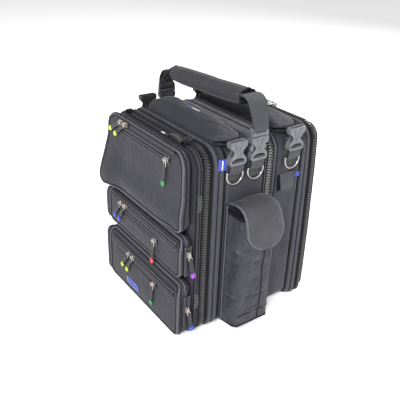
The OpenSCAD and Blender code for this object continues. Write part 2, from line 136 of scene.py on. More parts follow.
def fabric(name, dark, light, pitch=1.5 * MM, rough=0.75, weave=0.35, sheen=0.1, slack=0.5,
           shine=0.35):
    """Woven nylon: weave, slub, dusty patches, paler edges that are partly wear and partly painted highlight, and
    painted shade in its creases.
    """
    material, tree, shader = new_material(name)
    u, v = surface_uv(tree)
    height = weave_height(tree, u, v, pitch)
    place = node(tree, "ShaderNodeTexCoord").outputs["Object"]
    slub = node(tree, "ShaderNodeTexNoise",
                {"Vector": place, "Scale": 900.0, "Detail": 2.0}).outputs["Fac"]
    patches = node(tree, "ShaderNodeTexNoise",
                   {"Vector": place, "Scale": 28.0, "Detail": 4.0, "Roughness": 0.6}).outputs["Fac"]
    thread = maths(tree, "ADD", maths(tree, "MULTIPLY", height, 0.5), maths(tree, "MULTIPLY", slub, 0.5))
    spread = maths(tree, "ADD", maths(tree, "MULTIPLY", patches, 0.4), 0.02)
    blend = maths(tree, "MULTIPLY", thread, spread)
    colour = mix_colour(tree, blend, (*dark, 1), (*light, 1))
    # paler convex edges: partly wear, partly painted highlight
    edge = node(tree, "ShaderNodeNewGeometry").outputs["Pointiness"]
    lighter_edge = maths(tree, "MULTIPLY", maths(tree, "SUBTRACT", edge, 0.52), 6.0, clamp=True)
    pale = tuple(min(1.0, 1.9 * c + 0.01) for c in light)
    colour = mix_colour(tree, maths(tree, "MULTIPLY", lighter_edge, 0.6), colour, (*pale, 1))
    # painted shade: concave creases are darkened towards a third of the dark colour
    painted_crease_shade = maths(tree, "MULTIPLY", maths(tree, "SUBTRACT", 0.49, edge), 9.0, clamp=True)
    colour = mix_colour(tree, maths(tree, "MULTIPLY", painted_crease_shade, 0.75), colour, (*(0.3 * c for c in dark), 1))
    tree.links.new(colour, shader.inputs["Base Color"])
    crumple = node(tree, "ShaderNodeTexNoise",
                   {"Vector": place, "Scale": 30.0, "Detail": 4.0, "Distortion": 1.1}).outputs["Fac"]
    soft = node(tree, "ShaderNodeBump", {"Strength": slack, "Distance": 6 * MM, "Height": crumple})
    fine = node(tree, "ShaderNodeBump", {"Strength": weave, "Distance": 0.4 * MM, "Height": thread,
                                         "Normal": soft.outputs[0]})
    tree.links.new(fine.outputs[0], shader.inputs["Normal"])
    shader.inputs["Roughness"].default_value = rough
    shader.inputs["Sheen Weight"].default_value = sheen
    shader.inputs["Sheen Roughness"].default_value = 0.4
    shader.inputs["Specular IOR Level"].default_value = shine
    return material


def woven_strip(name, dark, light, rib=1.1 * MM, lanes=9, rough=0.7, shine=0.35):
    """Webbing or tape, from its UV map: u runs along it in metres, v across it from 0 to 1."""
    material, tree, shader = new_material(name)
    place = node(tree, "ShaderNodeSeparateXYZ", {0: node(tree, "ShaderNodeUVMap").outputs[0]}).outputs
    lane = maths(tree, "SINE", maths(tree, "MULTIPLY", place[1], 2 * math.pi * lanes))
    shift = maths(tree, "MULTIPLY", lane, 0.9)
    along = maths(tree, "SINE", maths(tree, "ADD",
                                      maths(tree, "MULTIPLY", place[0], 2 * math.pi / rib), shift))
    ribs = maths(tree, "ADD", maths(tree, "MULTIPLY", along, 0.3), maths(tree, "MULTIPLY", lane, 0.2))
    height = maths(tree, "ADD", ribs, 0.5, clamp=True)
    object_place = node(tree, "ShaderNodeTexCoord").outputs["Object"]
    fuzz = node(tree, "ShaderNodeTexNoise",
                {"Vector": object_place, "Scale": 300.0, "Detail": 3.0}).outputs["Fac"]
    blend = maths(tree, "MULTIPLY", height, maths(tree, "ADD", fuzz, 0.4), clamp=True)
    tree.links.new(mix_colour(tree, blend, (*dark, 1), (*light, 1)), shader.inputs["Base Color"])
    bump = node(tree, "ShaderNodeBump", {"Strength": 0.6, "Distance": 0.4 * MM, "Height": height})
    tree.links.new(bump.outputs[0], shader.inputs["Normal"])
    shader.inputs["Roughness"].default_value = rough
    shader.inputs["Sheen Weight"].default_value = 0.04
    shader.inputs["Specular IOR Level"].default_value = shine
    return material


def moulded(name, dark, light, rough=0.42, grain=0.25, scale=1400.0, shine=0.5):
    """Moulded plastic or rubber: fine grain, faint flow marks and rubbed edges."""
    material, tree, shader = new_material(name)
    place = node(tree, "ShaderNodeTexCoord").outputs["Object"]
    flow = node(tree, "ShaderNodeTexNoise", {"Vector": place, "Scale": 90.0, "Detail": 3.0}).outputs["Fac"]
    colour = mix_colour(tree, flow, (*dark, 1), (*light, 1))
    edge = node(tree, "ShaderNodeNewGeometry").outputs["Pointiness"]
    lighter_edge = maths(tree, "MULTIPLY", maths(tree, "SUBTRACT", edge, 0.55), 4.0, clamp=True)
    pale = tuple(min(1.0, 1.5 * c + 0.02) for c in light)
    colour = mix_colour(tree, maths(tree, "MULTIPLY", lighter_edge, 0.6), colour, (*pale, 1))
    tree.links.new(colour, shader.inputs["Base Color"])
    speckle = node(tree, "ShaderNodeTexNoise",
                   {"Vector": place, "Scale": scale, "Detail": 2.0}).outputs["Fac"]
    rough_map = node(tree, "ShaderNodeMapRange", {0: flow, 3: rough - 0.08, 4: rough + 0.1})
    tree.links.new(rough_map.outputs[0], shader.inputs["Roughness"])
    bump = node(tree, "ShaderNodeBump", {"Strength": grain, "Distance": 0.15 * MM, "Height": speckle})
    tree.links.new(bump.outputs[0], shader.inputs["Normal"])
    shader.inputs["Specular IOR Level"].default_value = shine
    return material


def metal(name, dark, light, rough=0.3, scratch=0.3):
    """Plated metal: fine scratches, uneven gloss and brighter worn edges."""
    material, tree, shader = new_material(name)
    place = node(tree, "ShaderNodeTexCoord").outputs["Object"]
    stretched = node(tree, "ShaderNodeMapping", {0: place, "Scale": (300.0, 2500.0, 900.0)}).outputs[0]
    lines = node(tree, "ShaderNodeTexNoise",
                 {"Vector": stretched, "Scale": 1.0, "Detail": 3.0}).outputs["Fac"]
    edge = node(tree, "ShaderNodeNewGeometry").outputs["Pointiness"]
    lighter_edge = maths(tree, "MULTIPLY", maths(tree, "SUBTRACT", edge, 0.5), 3.0, clamp=True)
    blend = maths(tree, "ADD", lighter_edge, maths(tree, "MULTIPLY", lines, 0.4), clamp=True)
    tree.links.new(mix_colour(tree, blend, (*dark, 1), (*light, 1)), shader.inputs["Base Color"])
    rough_map = node(tree, "ShaderNodeMapRange", {0: lines, 3: rough - 0.1, 4: rough + 0.15})
    tree.links.new(rough_map.outputs[0], shader.inputs["Roughness"])
    bump = node(tree, "ShaderNodeBump", {"Strength": scratch, "Distance": 0.08 * MM, "Height": lines})
    tree.links.new(bump.outputs[0], shader.inputs["Normal"])
    shader.inputs["Metallic"].default_value = 1.0
    return material


NYLON = fabric("ballistic_nylon", (0.014, 0.014, 0.020), (0.112, 0.112, 0.144), sheen=0.1)
PANEL = fabric("padded_nylon", (0.020, 0.020, 0.026), (0.100, 0.100, 0.122), pitch=1.1 * MM, sheen=0.1)
LINING = fabric("lining", (0.05, 0.051, 0.056), (0.13, 0.132, 0.142), pitch=0.8 * MM, rough=0.6)
# black piping cloth, also laid as painted shade in seam grooves, under the pockets and inside the pouches
PIPING_AND_PAINTED_SHADE = fabric("piping", (0.003, 0.003, 0.004), (0.012, 0.012, 0.015), pitch=0.9 * MM, slack=0.15, sheen=0.0,
                shine=0.15)
TAPE = woven_strip("zip_tape", (0.002, 0.002, 0.003), (0.008, 0.008, 0.011), rib=0.9 * MM, lanes=7, shine=0.1)
WEBBING = woven_strip("webbing", (0.010, 0.010, 0.013), (0.078, 0.082, 0.092))
TEETH = moulded("zip_teeth", (0.008, 0.008, 0.010), (0.055, 0.054, 0.056), rough=0.3, shine=0.4)
# a lighter copy of the teeth plastic: painted highlight for the bright specks along one half of a zipper
TEETH_PAINTED_HIGHLIGHT = moulded("zip_teeth_painted_highlight", (0.02, 0.02, 0.022), (0.2, 0.2, 0.205), rough=0.3, shine=0.45)
EDGING = fabric("grey_piping", (0.03, 0.03, 0.036), (0.14, 0.14, 0.165), pitch=0.9 * MM, slack=0.1, sheen=0.1)
# a lighter copy of the nylon for the pouches: painted light
POUCH_PAINTED_LIGHT = fabric("pouch_nylon_painted_light", (0.016, 0.016, 0.022), (0.120, 0.122, 0.152), sheen=0.1, slack=0.9)
COIL = moulded("zip_coil", (0.006, 0.006, 0.007), (0.03, 0.03, 0.034), rough=0.4, shine=0.3)
BUCKLE = moulded("buckle_plastic", (0.05, 0.053, 0.06), (0.165, 0.172, 0.185), rough=0.36)
# darker copy of the buckle plastic for the bag's left side: painted shade
BUCKLE_PAINTED_SHADE = moulded("buckle_plastic_painted_shade", (0.012, 0.012, 0.014), (0.035, 0.035, 0.04), rough=0.4)
# darker copy of the webbing for the bag's left side: painted shade
WEBBING_PAINTED_SHADE = woven_strip("webbing_painted_shade", (0.008, 0.008, 0.01), (0.035, 0.036, 0.042), shine=0.2)
PALE_THREAD = moulded("thread_pale", (0.1, 0.1, 0.105), (0.24, 0.24, 0.25), rough=0.6)
STEEL = metal("ring_steel", (0.22, 0.21, 0.2), (0.6, 0.58, 0.56), rough=0.25)
ZINC = metal("slider_zinc", (0.34, 0.3, 0.27), (0.9, 0.83, 0.77), rough=0.3)
GUNMETAL = metal("gunmetal", (0.03, 0.03, 0.032), (0.16, 0.155, 0.15), rough=0.35)
THREAD = moulded("thread", (0.02, 0.02, 0.022), (0.08, 0.08, 0.088), rough=0.6)
BOARD = moulded("stiffener_board", (0.012, 0.012, 0.013), (0.03, 0.03, 0.032), rough=0.55)
LABEL_BLUE = fabric("label_blue", (0.03, 0.05, 0.34), (0.08, 0.14, 0.62), pitch=0.6 * MM, slack=0.1)
LABEL_WHITE = fabric("label_white", (0.5, 0.52, 0.5), (0.85, 0.88, 0.8), pitch=0.6 * MM, slack=0.1)
ENDS = {
    "yellow": moulded("end_yellow", (0.42, 0.5, 0.01), (0.72, 0.8, 0.05), rough=0.5),
    "green": moulded("end_green", (0.01, 0.16, 0.03), (0.04, 0.36, 0.08), rough=0.5),
    "blue": moulded("end_blue", (0.02, 0.03, 0.38), (0.08, 0.12, 0.72), rough=0.5),
    "red": moulded("end_red", (0.5, 0.015, 0.03), (0.85, 0.08, 0.1), rough=0.5),
    "violet": moulded("end_violet", (0.2, 0.03, 0.4), (0.42, 0.1, 0.7), rough=0.5),
}

# ---------- shape helpers ----------


def distances(path):
    """How far along a path each of its points lies."""
    return np.concatenate([[0], np.cumsum(np.linalg.norm(np.diff(path, axis=0), axis=1))])


def outline(width, height, corner, low=0.0, count=AROUND):
    """Rounded rectangle in XZ from the middle of its lower edge: (points, normals, distances)."""
    half = width / 2
    points, normals = [(0, 0)], [(0, -1)]
    centres = [(half - corner, corner), (half - corner, height - corner),
               (corner - half, height - corner), (corner - half, corner)]
    for i, (cx, cz) in enumerate(centres):
        for step in range(13):
            a = math.radians(-90 + 90 * i + 7.5 * step)
            normals.append((math.cos(a), math.sin(a)))
            points.append((cx + corner * math.cos(a), cz + corner * math.sin(a)))
    points.append((0, 0))
    normals.append((0, -1))
    points, normals = np.array(points), np.array(normals)
    run = distances(points)
    at = np.linspace(0, run[-1], count, endpoint=False)
    points = np.stack([np.interp(at, run, points[:, k]) for k in (0, 1)], axis=1)
    normals = np.stack([np.interp(at, run, normals[:, k]) for k in (0, 1)], axis=1)
    normals /= np.linalg.norm(normals, axis=1)[:, None]
    return points + (0, low), normals, at


def at_depth(points, y):
    """XZ points as 3-D points at depth y."""
    return np.stack([points[:, 0], np.broadcast_to(y, len(points)), points[:, 1]], axis=1)


def smooth_path(points, count, closed=False):
    """Catmull-Rom curve through points, with count points evenly spaced along it."""
    points = np.array(points, float)
    n = len(points)
    spans = n if closed else n - 1
    out = []
    for i in range(spans):
        p = [points[(i + k) % n] if closed else points[min(max(i + k, 0), n - 1)] for k in (-1, 0, 1, 2)]
        for t in np.linspace(0, 1, 16, endpoint=False):
            out.append(0.5 * (2 * p[1] + (p[2] - p[0]) * t + (2 * p[0] - 5 * p[1] + 4 * p[2] - p[3]) * t * t
                              + (3 * p[1] - p[0] - 3 * p[2] + p[3]) * t ** 3))
    out.append(points[0] if closed else points[-1])
    out = np.array(out)
    run = distances(out)
    at = np.linspace(0, run[-1], count, endpoint=not closed)
    return np.stack([np.interp(at, run, out[:, k]) for k in range(out.shape[1])], axis=1)


def ease(t):
    """0 to 1 with soft ends."""
    t = np.clip(t, 0, 1)
    return t * t * (3 - 2 * t)


def unit(vectors):
    return vectors / np.maximum(np.linalg.norm(vectors, axis=-1, keepdims=True), 1e-12)


def tangents(path, closed):
    if closed:
        return unit(np.roll(path, -1, axis=0) - np.roll(path, 1, axis=0))
    return unit(np.gradient(path, axis=0))


def settled(points):
    """Where points of the rear sections go under their own weight: wider low down and narrower at the top."""
    points = np.array(points, float)
    wider = np.interp(points[:, 2], (0, 50, 150, 290, 376), (2, 3, 2, -2, -7))
    side = ease((np.abs(points[:, 0]) - 60) / 60) * np.sign(points[:, 0])
    rear = ease((points[:, 1] - 94) / 40)
    # from a lower corner's centre
    arm = np.stack([np.abs(points[:, 0]) - SIDE_X + 32, 32 - points[:, 2]], axis=1)
    corner = np.where((arm > 0).all(axis=1), 0.26 * np.sin(2 * np.arctan2(arm[:, 1], arm[:, 0])) ** 2,
                      0) * rear
    points[:, 0] += side * wider * rear + np.sign(points[:, 0]) * arm[:, 0] * corner
    points[:, 2] -= arm[:, 1] * corner
    points[:, 2] = np.maximum(points[:, 2], 0)      # its base lies flat on the floor
    return points


class Build:
    """Collects the parts of one piece, each with its own material, into one mesh."""

    def __init__(self, *materials):
        self.materials = materials
        self.verts, self.faces, self.marks, self.uvs = [], [], [], []
        self.size = 0

    def add(self, verts, faces, material=0, uvs=None):
        verts = np.asarray(verts, float).reshape(-1, 3)
        self.faces += [tuple(int(i) + self.size for i in face) for face in faces]
        self.marks += [material] * len(faces)
        self.verts.append(verts)
        self.uvs.append(np.zeros((len(verts), 2)) if uvs is None else np.asarray(uvs, float))
        self.size += len(verts)

    def grid(self, rows, material=0, around=True, ring=False, ends=False, uvs=None, skip=None):
        """Quads over rows of points. around closes each row, ring joins the last row to the first."""
        rows = np.asarray(rows, float)
        count, wide = rows.shape[:2]
        faces = []
        for i in range(count if ring else count - 1):
            for j in range(wide if around else wide - 1):
                if skip is None or not skip(i, j):
                    k, m = (i + 1) % count, (j + 1) % wide
                    faces.append((i * wide + j, i * wide + m, k * wide + m, k * wide + j))
        if ends:
            faces.append(tuple(range(wide))[::-1])
            faces.append(tuple((count - 1) * wide + j for j in range(wide)))
        self.add(rows.reshape(-1, 3), faces, material, uvs)

    def tube(self, path, radius, material=0, sides=8, closed=False, flat=1.0, up=(0.0, 0.0, 1.0)):
        """Round tube along path. flat squeezes it along up."""
        path = np.asarray(path, float)
        t = tangents(path, closed)
        across = unit(np.cross(t, np.array(up)))
        weak = np.linalg.norm(np.cross(t, np.array(up)), axis=1) < 1e-3
        across[weak] = (1.0, 0.0, 0.0)
        for i in range(1, len(across)):
            if np.dot(across[i], across[i - 1]) < 0:
                across[i] = -across[i]
        over = unit(np.cross(across, t))
        angle = 2 * math.pi * np.arange(sides) / sides
        radius = np.broadcast_to(radius, len(path))
        rows = (path[:, None] + radius[:, None, None]
                * (np.cos(angle)[None, :, None] * across[:, None]
                   + flat * np.sin(angle)[None, :, None] * over[:, None]))
        self.grid(rows, material, ring=closed, ends=not closed)

    def ribbon(self, path, side, width, thick, material=0, closed=False):
        """Strap along path. side is the direction of its width; its edges are rounded."""
        path = np.asarray(path, float)
        side = np.array(side, float)
        width = np.broadcast_to(width, len(path))
        over = unit(np.cross(tangents(path, closed), side))
        section = [(-0.5, -0.25), (-0.5, 0.25), (-0.485, 0.5), (-0.25, 0.5),
                   (0, 0.5), (0.25, 0.5), (0.485, 0.5),
                   (0.5, 0.25), (0.5, -0.25), (0.485, -0.5), (0.25, -0.5),
                   (0, -0.5), (-0.25, -0.5), (-0.485, -0.5)]
        section = np.array(section)
        rows = (path[:, None] + section[None, :, :1] * width[:, None, None] * side
                + section[None, :, 1:] * thick * over[:, None])
        run = distances(path)
        uvs = [(u * MM, s + 0.5) for u in run for s in section[:, 0]]
        self.grid(rows, material, ring=closed, ends=not closed, uvs=uvs)

    def plate(self, loops, thick, bevel, place, material=0):
        """Flat moulding: the first 2-D loop is solid, the rest are holes. place maps it into the bag."""
        curve = bpy.data.curves.new("plate", "CURVE")
        curve.dimensions = "2D"
        curve.fill_mode = "BOTH"
        curve.extrude = thick / 2 - bevel
        curve.bevel_depth = bevel
        curve.bevel_resolution = 2
        curve.offset = -bevel
        for loop in loops:
            spline = curve.splines.new("POLY")
            spline.points.add(len(loop) - 1)
            spline.points.foreach_set("co", [c for p in loop for c in (p[0], p[1], 0, 1)])
            spline.use_cyclic_u = True
        shell = bpy.data.objects.new("plate", curve)
        bpy.context.scene.collection.objects.link(shell)
        made = shell.evaluated_get(bpy.context.evaluated_depsgraph_get()).to_mesh()
        verts = [place @ v.co for v in made.vertices]
        self.add([tuple(v) for v in verts], [tuple(p.vertices) for p in made.polygons], material)
        bpy.data.objects.remove(shell)
        bpy.data.curves.remove(curve)

    def prism(self, loop, low, high, place, material=0):
        """Straight solid of a small 2-D loop, between two heights, in the axes of place."""
        count = len(loop)
        verts = [tuple(place @ Vector((p[0], p[1], h))) for h in (low, high) for p in loop]
        faces = [(k, (k + 1) % count, count + (k + 1) % count, count + k) for k in range(count)]
        faces += [tuple(range(count))[::-1], tuple(range(count, 2 * count))]
        self.add(verts, faces, material)

    def block(self, low, high, bevel, place=Matrix.Identity(4), material=0):
        """Box with rounded edges, in the axes of place."""
        mesh = bmesh.new()
        size = Vector(high) - Vector(low)
        centre = (Vector(high) + Vector(low)) / 2
        bmesh.ops.create_cube(mesh, size=1.0, matrix=Matrix.Translation(centre) @ Matrix.Diagonal((*size, 1)))
        bmesh.ops.bevel(mesh, geom=mesh.edges[:], offset=bevel, segments=2, affect="EDGES", profile=0.5)
        mesh.verts.index_update()
        self.add([tuple(place @ v.co) for v in mesh.verts],
                 [tuple(v.index for v in f.verts) for f in mesh.faces], material)
        mesh.free()

    def stitches(self, path, closed=False, pitch=3.4, length=2.3, radius=0.38, material=0):
        """A line of short thread stitches along path."""
        path = np.asarray(path, float)
        if closed:
            path = np.vstack([path, path[:1]])
        run = distances(path)
        for start in np.arange(0, run[-1] - length, pitch):
            pick = [np.array([np.interp(start + s * length, run, path[:, k]) for k in range(3)])
                    for s in (0, 0.5, 1)]
            self.tube(pick, [radius * 0.5, radius, radius * 0.5], material, sides=4)

    def mirrored(self, shift=0):
        """The same parts on the other side of the bag, in the materials that come shift places later."""
        other = Build(*self.materials)
        other.verts = [v * (-1, 1, 1) for v in self.verts]
        other.faces = [f[::-1] for f in self.faces]
        other.marks, other.uvs, other.size = [m + shift for m in self.marks], list(self.uvs), self.size
        return other

    def join(self, other):
        """Adds another build of the same materials."""
        self.faces += [tuple(i + self.size for i in f) for f in other.faces]
        self.marks += other.marks
        self.verts += other.verts
        self.uvs += other.uvs
        self.size += other.size
        return self

    def done(self, name):
        mesh = bpy.data.meshes.new(name)
        mesh.from_pydata((settled(np.vstack(self.verts)) * MM).tolist(), [], self.faces)
        for material in self.materials:
            mesh.materials.append(material)
        mesh.polygons.foreach_set("material_index", self.marks)
        uvs = np.vstack(self.uvs)
        layer = mesh.uv_layers.new(name="UVMap")
        loops = np.zeros(len(mesh.loops), int)
        mesh.loops.foreach_get("vertex_index", loops)
        layer.data.foreach_set("uv", uvs[loops].ravel())
        tidy = bmesh.new()
        tidy.from_mesh(mesh)
        bmesh.ops.recalc_face_normals(tidy, faces=tidy.faces[:])
        tidy.to_mesh(mesh)
        tidy.free()
        mesh.shade_smooth()
        mesh.set_sharp_from_angle(angle=math.radians(42))
        made = bpy.data.objects.new(name, mesh)
        bpy.context.scene.collection.objects.link(made)
        return made


def finished(made, body, slot, *nodes):
    """Puts a piece on its body, with the CAD nodes that it stands for. slot is not used."""
    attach(made, body)
    if nodes:
        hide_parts(*nodes)
    return made


def subdivide(made, levels=1):
    """Applies a subdivision surface."""
    modifier = made.modifiers.new("round", "SUBSURF")
    modifier.levels = levels
    bake(made)
    return made


def bake(made):
    """Applies every modifier of an object to its mesh."""
    evaluated = made.evaluated_get(bpy.context.evaluated_depsgraph_get())
    mesh = bpy.data.meshes.new_from_object(evaluated)
    made.modifiers.clear()
    old = made.data
    made.data = mesh
    bpy.data.meshes.remove(old)


def coordinates(made):
    co = np.zeros(len(made.data.vertices) * 3)
    made.data.vertices.foreach_get("co", co)
    return co.reshape(-1, 3)


def inflate(made, pinned, voxel=5 * MM, pressure=4.0, cap=6 * MM, frames=20):
    """Cloth with air pressure. pinned gives each point's hold on its seam, from 0 to 1."""
    remesh = made.modifiers.new("remesh", "REMESH")
    remesh.mode = "VOXEL"
    remesh.voxel_size = voxel
    bake(made)
    start = coordinates(made)
    hold = made.vertex_groups.new(name="seam")
    for i, weight in enumerate(pinned(start)):
        hold.add([i], float(weight), "REPLACE")
    cloth = made.modifiers.new("cloth", "CLOTH")
    cloth.settings.quality = 5
    cloth.settings.mass = 0.25
    cloth.settings.tension_stiffness = 12
    cloth.settings.compression_stiffness = 6
    cloth.settings.bending_stiffness = 0.4
    cloth.settings.use_pressure = True
    cloth.settings.uniform_pressure_force = pressure
    cloth.settings.vertex_group_mass = "seam"
    cloth.settings.effector_weights.gravity = 0
    cloth.point_cache.frame_start = 1
    cloth.point_cache.frame_end = frames
    for f in range(1, frames + 1):
        bpy.context.scene.frame_set(f)
    bake(made)
    bpy.context.scene.frame_set(1)
    moved = coordinates(made) - start
    far = np.linalg.norm(moved, axis=1, keepdims=True)
    moved *= np.minimum(1.0, cap / np.maximum(far, 1e-9))
    made.data.vertices.foreach_set("co", (start + moved).ravel())
    made.vertex_groups.clear()
    made.data.shade_smooth()
    return subdivide(made)


def ripple(points, length, size, seed=0.0):
    """Smooth random height at each point, about from -size to size, with waves of about that length."""
    return np.array([size * noise.fractal(Vector(p) / length + Vector((seed, seed, seed)), 1.0, 2.0, 3)
                     for p in points])

# ---------- centre sections and caps ----------

OUT, NORMAL, RUN = outline(2 * SIDE_X, TALL, 32)
TOP = OUT[:, 1] > TALL - 33
# distance from the zipper and offset of the fabric: a wide flange of two welts, and a plain bound edge
FLANGE = [(14.0, -1.9), (14.6, 0.2), (15.6, 1.7), (18.6, 2.4), (22, 1.7),
          (23.4, 0.3), (24.3, -1.5), (25.2, 0.3),
          (26.8, 1.9), (30.2, 2.6), (33.6, 1.8), (35, 0.2), (35.8, -1.9),
          (38.6, -2.4), (40.6, -1.6), (41.6, 0.5),
          (43.5, 1.5)]
PLAIN = [(8.4, -1.7), (8.9, 0.3), (10, 1.3), (12, 1.6), (13.2, 0.6), (14, -0.6), (14.8, 0.6), (16.5, 1.2)]


def lifted(offset):
    """An offset with less of it underneath, so that the piping is what stands on the floor."""
    return np.asarray(offset, float) - 1.9 * np.clip(-NORMAL[:, 1], 0, 1)


def loop(y, offset=0.0):
    """The section outline at depth y, moved outwards by offset."""
    return at_depth(OUT + NORMAL * lifted(offset)[:, None], y)


def skin(y0, y1, seed, lid, edges):
    """Rows of outer fabric from y0 to y1: the seams next to each zipper, and a slack middle."""
    first, last = y0 + edges[0][-1][0], y1 - edges[1][-1][0]
    rows = [(y0 + d, o) for d, o in edges[0]]
    middle = np.linspace(first, last, max(3, int((last - first) / 4)))[1:-1]
    rows += [(y, 1.4 + 0.8 * math.sin(math.pi * (y - first) / (last - first)) ** 0.7) for y in middle]
    rows += [(y1 - d, o) for d, o in reversed(edges[1])]
    out = []
    for y, offset in rows:
        offsets = np.full(len(OUT), offset)
        if first < y < last:
            fade = min(1.0, (y - first) / 10, (last - y) / 10)
            place = at_depth(OUT * (1, 0.75) + (0, y * 0.45), y)
            folds = ripple(place, 38, 2.2, seed) - 3.2 * np.abs(ripple(place, 46, 1.0, seed + 3)) + 1.0
            offsets = offsets + fade * folds
        if lid[0] - 6 < y < lid[1] + 6:
            offsets = np.where(TOP, np.minimum(offsets, 0.1), offsets)
        out.append(loop(y, offsets))
    return out


def lining(y0, y1, seed):
    """Rows of the lining, from y0 to y1."""
    return [loop(y, -4.2 - 0.7 * abs(math.sin(y / 9)) + ripple(at_depth(OUT, y), 40, 0.5, seed))
            for y in np.linspace(y0, y1, max(4, int(abs(y1 - y0) / 6)))]


def seams(build, line, way, flange, material, thread):
    """Piping and stitches of the seams next to the zipper line, and dark sheets of painted shade in the grooves
    beside them.
    """
    # the dark piping tubes lie in the seam's grooves: piping that also stands in for their shade
    for distance, offset, radius in (((24.4, 0.2, 1.3),
                                      (37.6, -0.6, 2.0)) if flange else ((14.0, 0.9, 1.6),)):
        build.tube(loop(line + way * distance, offset), radius, material, closed=True, up=(0, 1, 0))
    rows = ((16.6, 2.15), (22, 1.95), (28, 2.4), (33, 2.15)) if flange else ((10.4, 1.6),)
    for distance, offset in rows:
        build.stitches(loop(line + way * distance, offset), closed=True, material=thread)
    if flange:                      # painted shade: a dark sheet in the gap between the zipper and the flange, and one in the deep groove past it
        build.grid([loop(line + way * d, o) for d, o in ((9.5, -1.5), (11, -1.1), (14.4, -1.2), (14.8, -2.4))], material)
        build.grid([loop(line + way * d, o) for d, o in ((35.2, -0.2), (36.4, -1.2), (40.6, -1.2), (42.2, 0.6))],
                   material)


def half_zip(build, line, way, tape, teeth, slant=0.0):
    """One half of a heavy zipper: tape, corded edge and meshing teeth. slant is its fall inwards."""
    rows = [loop(line + way * d, o - slant * d)
            for d, o in ((0.5, -1.1), (1.6, -1.0), (3.2, -0.85), (6, -0.8), (11, -0.9))]
    rows += [loop(line + way * d, -1.7 - slant * d) for d in (11, 0.5)]
    uvs = [(run / 1000, v / 6) for v in range(7) for run in RUN]
    build.grid(rows, tape, ring=True, uvs=uvs)
    build.tube(loop(line + way * 3.1, -0.6 - slant * 3.1), 0.75, tape, closed=True, up=(0, 1, 0), sides=6)
    count = 236
    length = RUN[-1] + RUN[1]
    for k in range(count):
        at = ((k + (0.5 if way > 0 else 0)) * length / count) % length
        j = int(at / RUN[1]) % AROUND
        t = at / RUN[1] - int(at / RUN[1])
        m = (j + 1) % AROUND
        out = NORMAL[j] * (1 - t) + NORMAL[m] * t
        spot = OUT[j] * (1 - t) + OUT[m] * t + out * lifted(0)[j]
        # a tooth: wide over the cord, with a narrow head past the middle of the zipper
        place = Matrix(((-out[1], -slant * out[0], out[0], spot[0]), (0, way, 0, line),
                        (out[0], -slant * out[1], out[1], spot[1]), (0, 0, 0, 1)))
        build.prism([(-1.4, 5.2), (1.4, 5.2), (1.5, 2.6), (1.0, 1.0), (1.45, -0.2), (0.7, -1.1),
                     (-0.7, -1.1), (-1.45, -0.2), (-1.0, 1.0), (-1.5, 2.6)], -1.3, 0.9, place, teeth)


def centre_section(name, y0, y1, lid, body, node_name, flange, seed):
    """Fabric hoop of a centre section, its lining, seams, and the bound hole under its lid."""
    build = Build(NYLON, LINING, PIPING_AND_PAINTED_SHADE, THREAD)
    outer = skin(y0, y1, seed, lid, [FLANGE if f else PLAIN for f in flange])
    inner = lining(y1 - 8.6, y0 + 8.6, seed)
    rows = outer + inner
    hole = (lid[0] + 8, lid[1] - 8)

    def skip(i, j):
        """True for what lies in the hole."""
        low, high = sorted((rows[i][0][1], rows[(i + 1) % len(rows)][0][1]))
        reach = max(abs(rows[i][j][0]), abs(rows[i][(j + 1) % AROUND][0]))
        return low > hole[0] and high < hole[1] and reach < 105 and rows[i][j][2] > TALL - 20
    build.grid(rows, 0, ring=True, skip=skip)
    for k, face in enumerate(build.faces):
        if min(face) >= len(outer) * AROUND - AROUND:
            build.marks[k] = 1
    places = [(-107, hole[0] - 3), (107, hole[0] - 3), (107, hole[1] + 3), (-107, hole[1] + 3)]
    rim = []
    for (ax, ay), (bx, by) in zip(places, places[1:] + places[:1]):
        steps = max(2, int(math.hypot(bx - ax, by - ay) / 6))
        rim += [(ax + (bx - ax) * k / steps, ay + (by - ay) * k / steps, TALL - 2.4) for k in range(steps)]
    build.ribbon(rim, (0, 0, 1), 4.6, 6.0, 2, closed=True)
    seams(build, y0, 1, flange[0], 2, 3)
    seams(build, y1, -1, flange[1], 2, 3)
    return finished(build.done(name), body, "fabric", node_name)


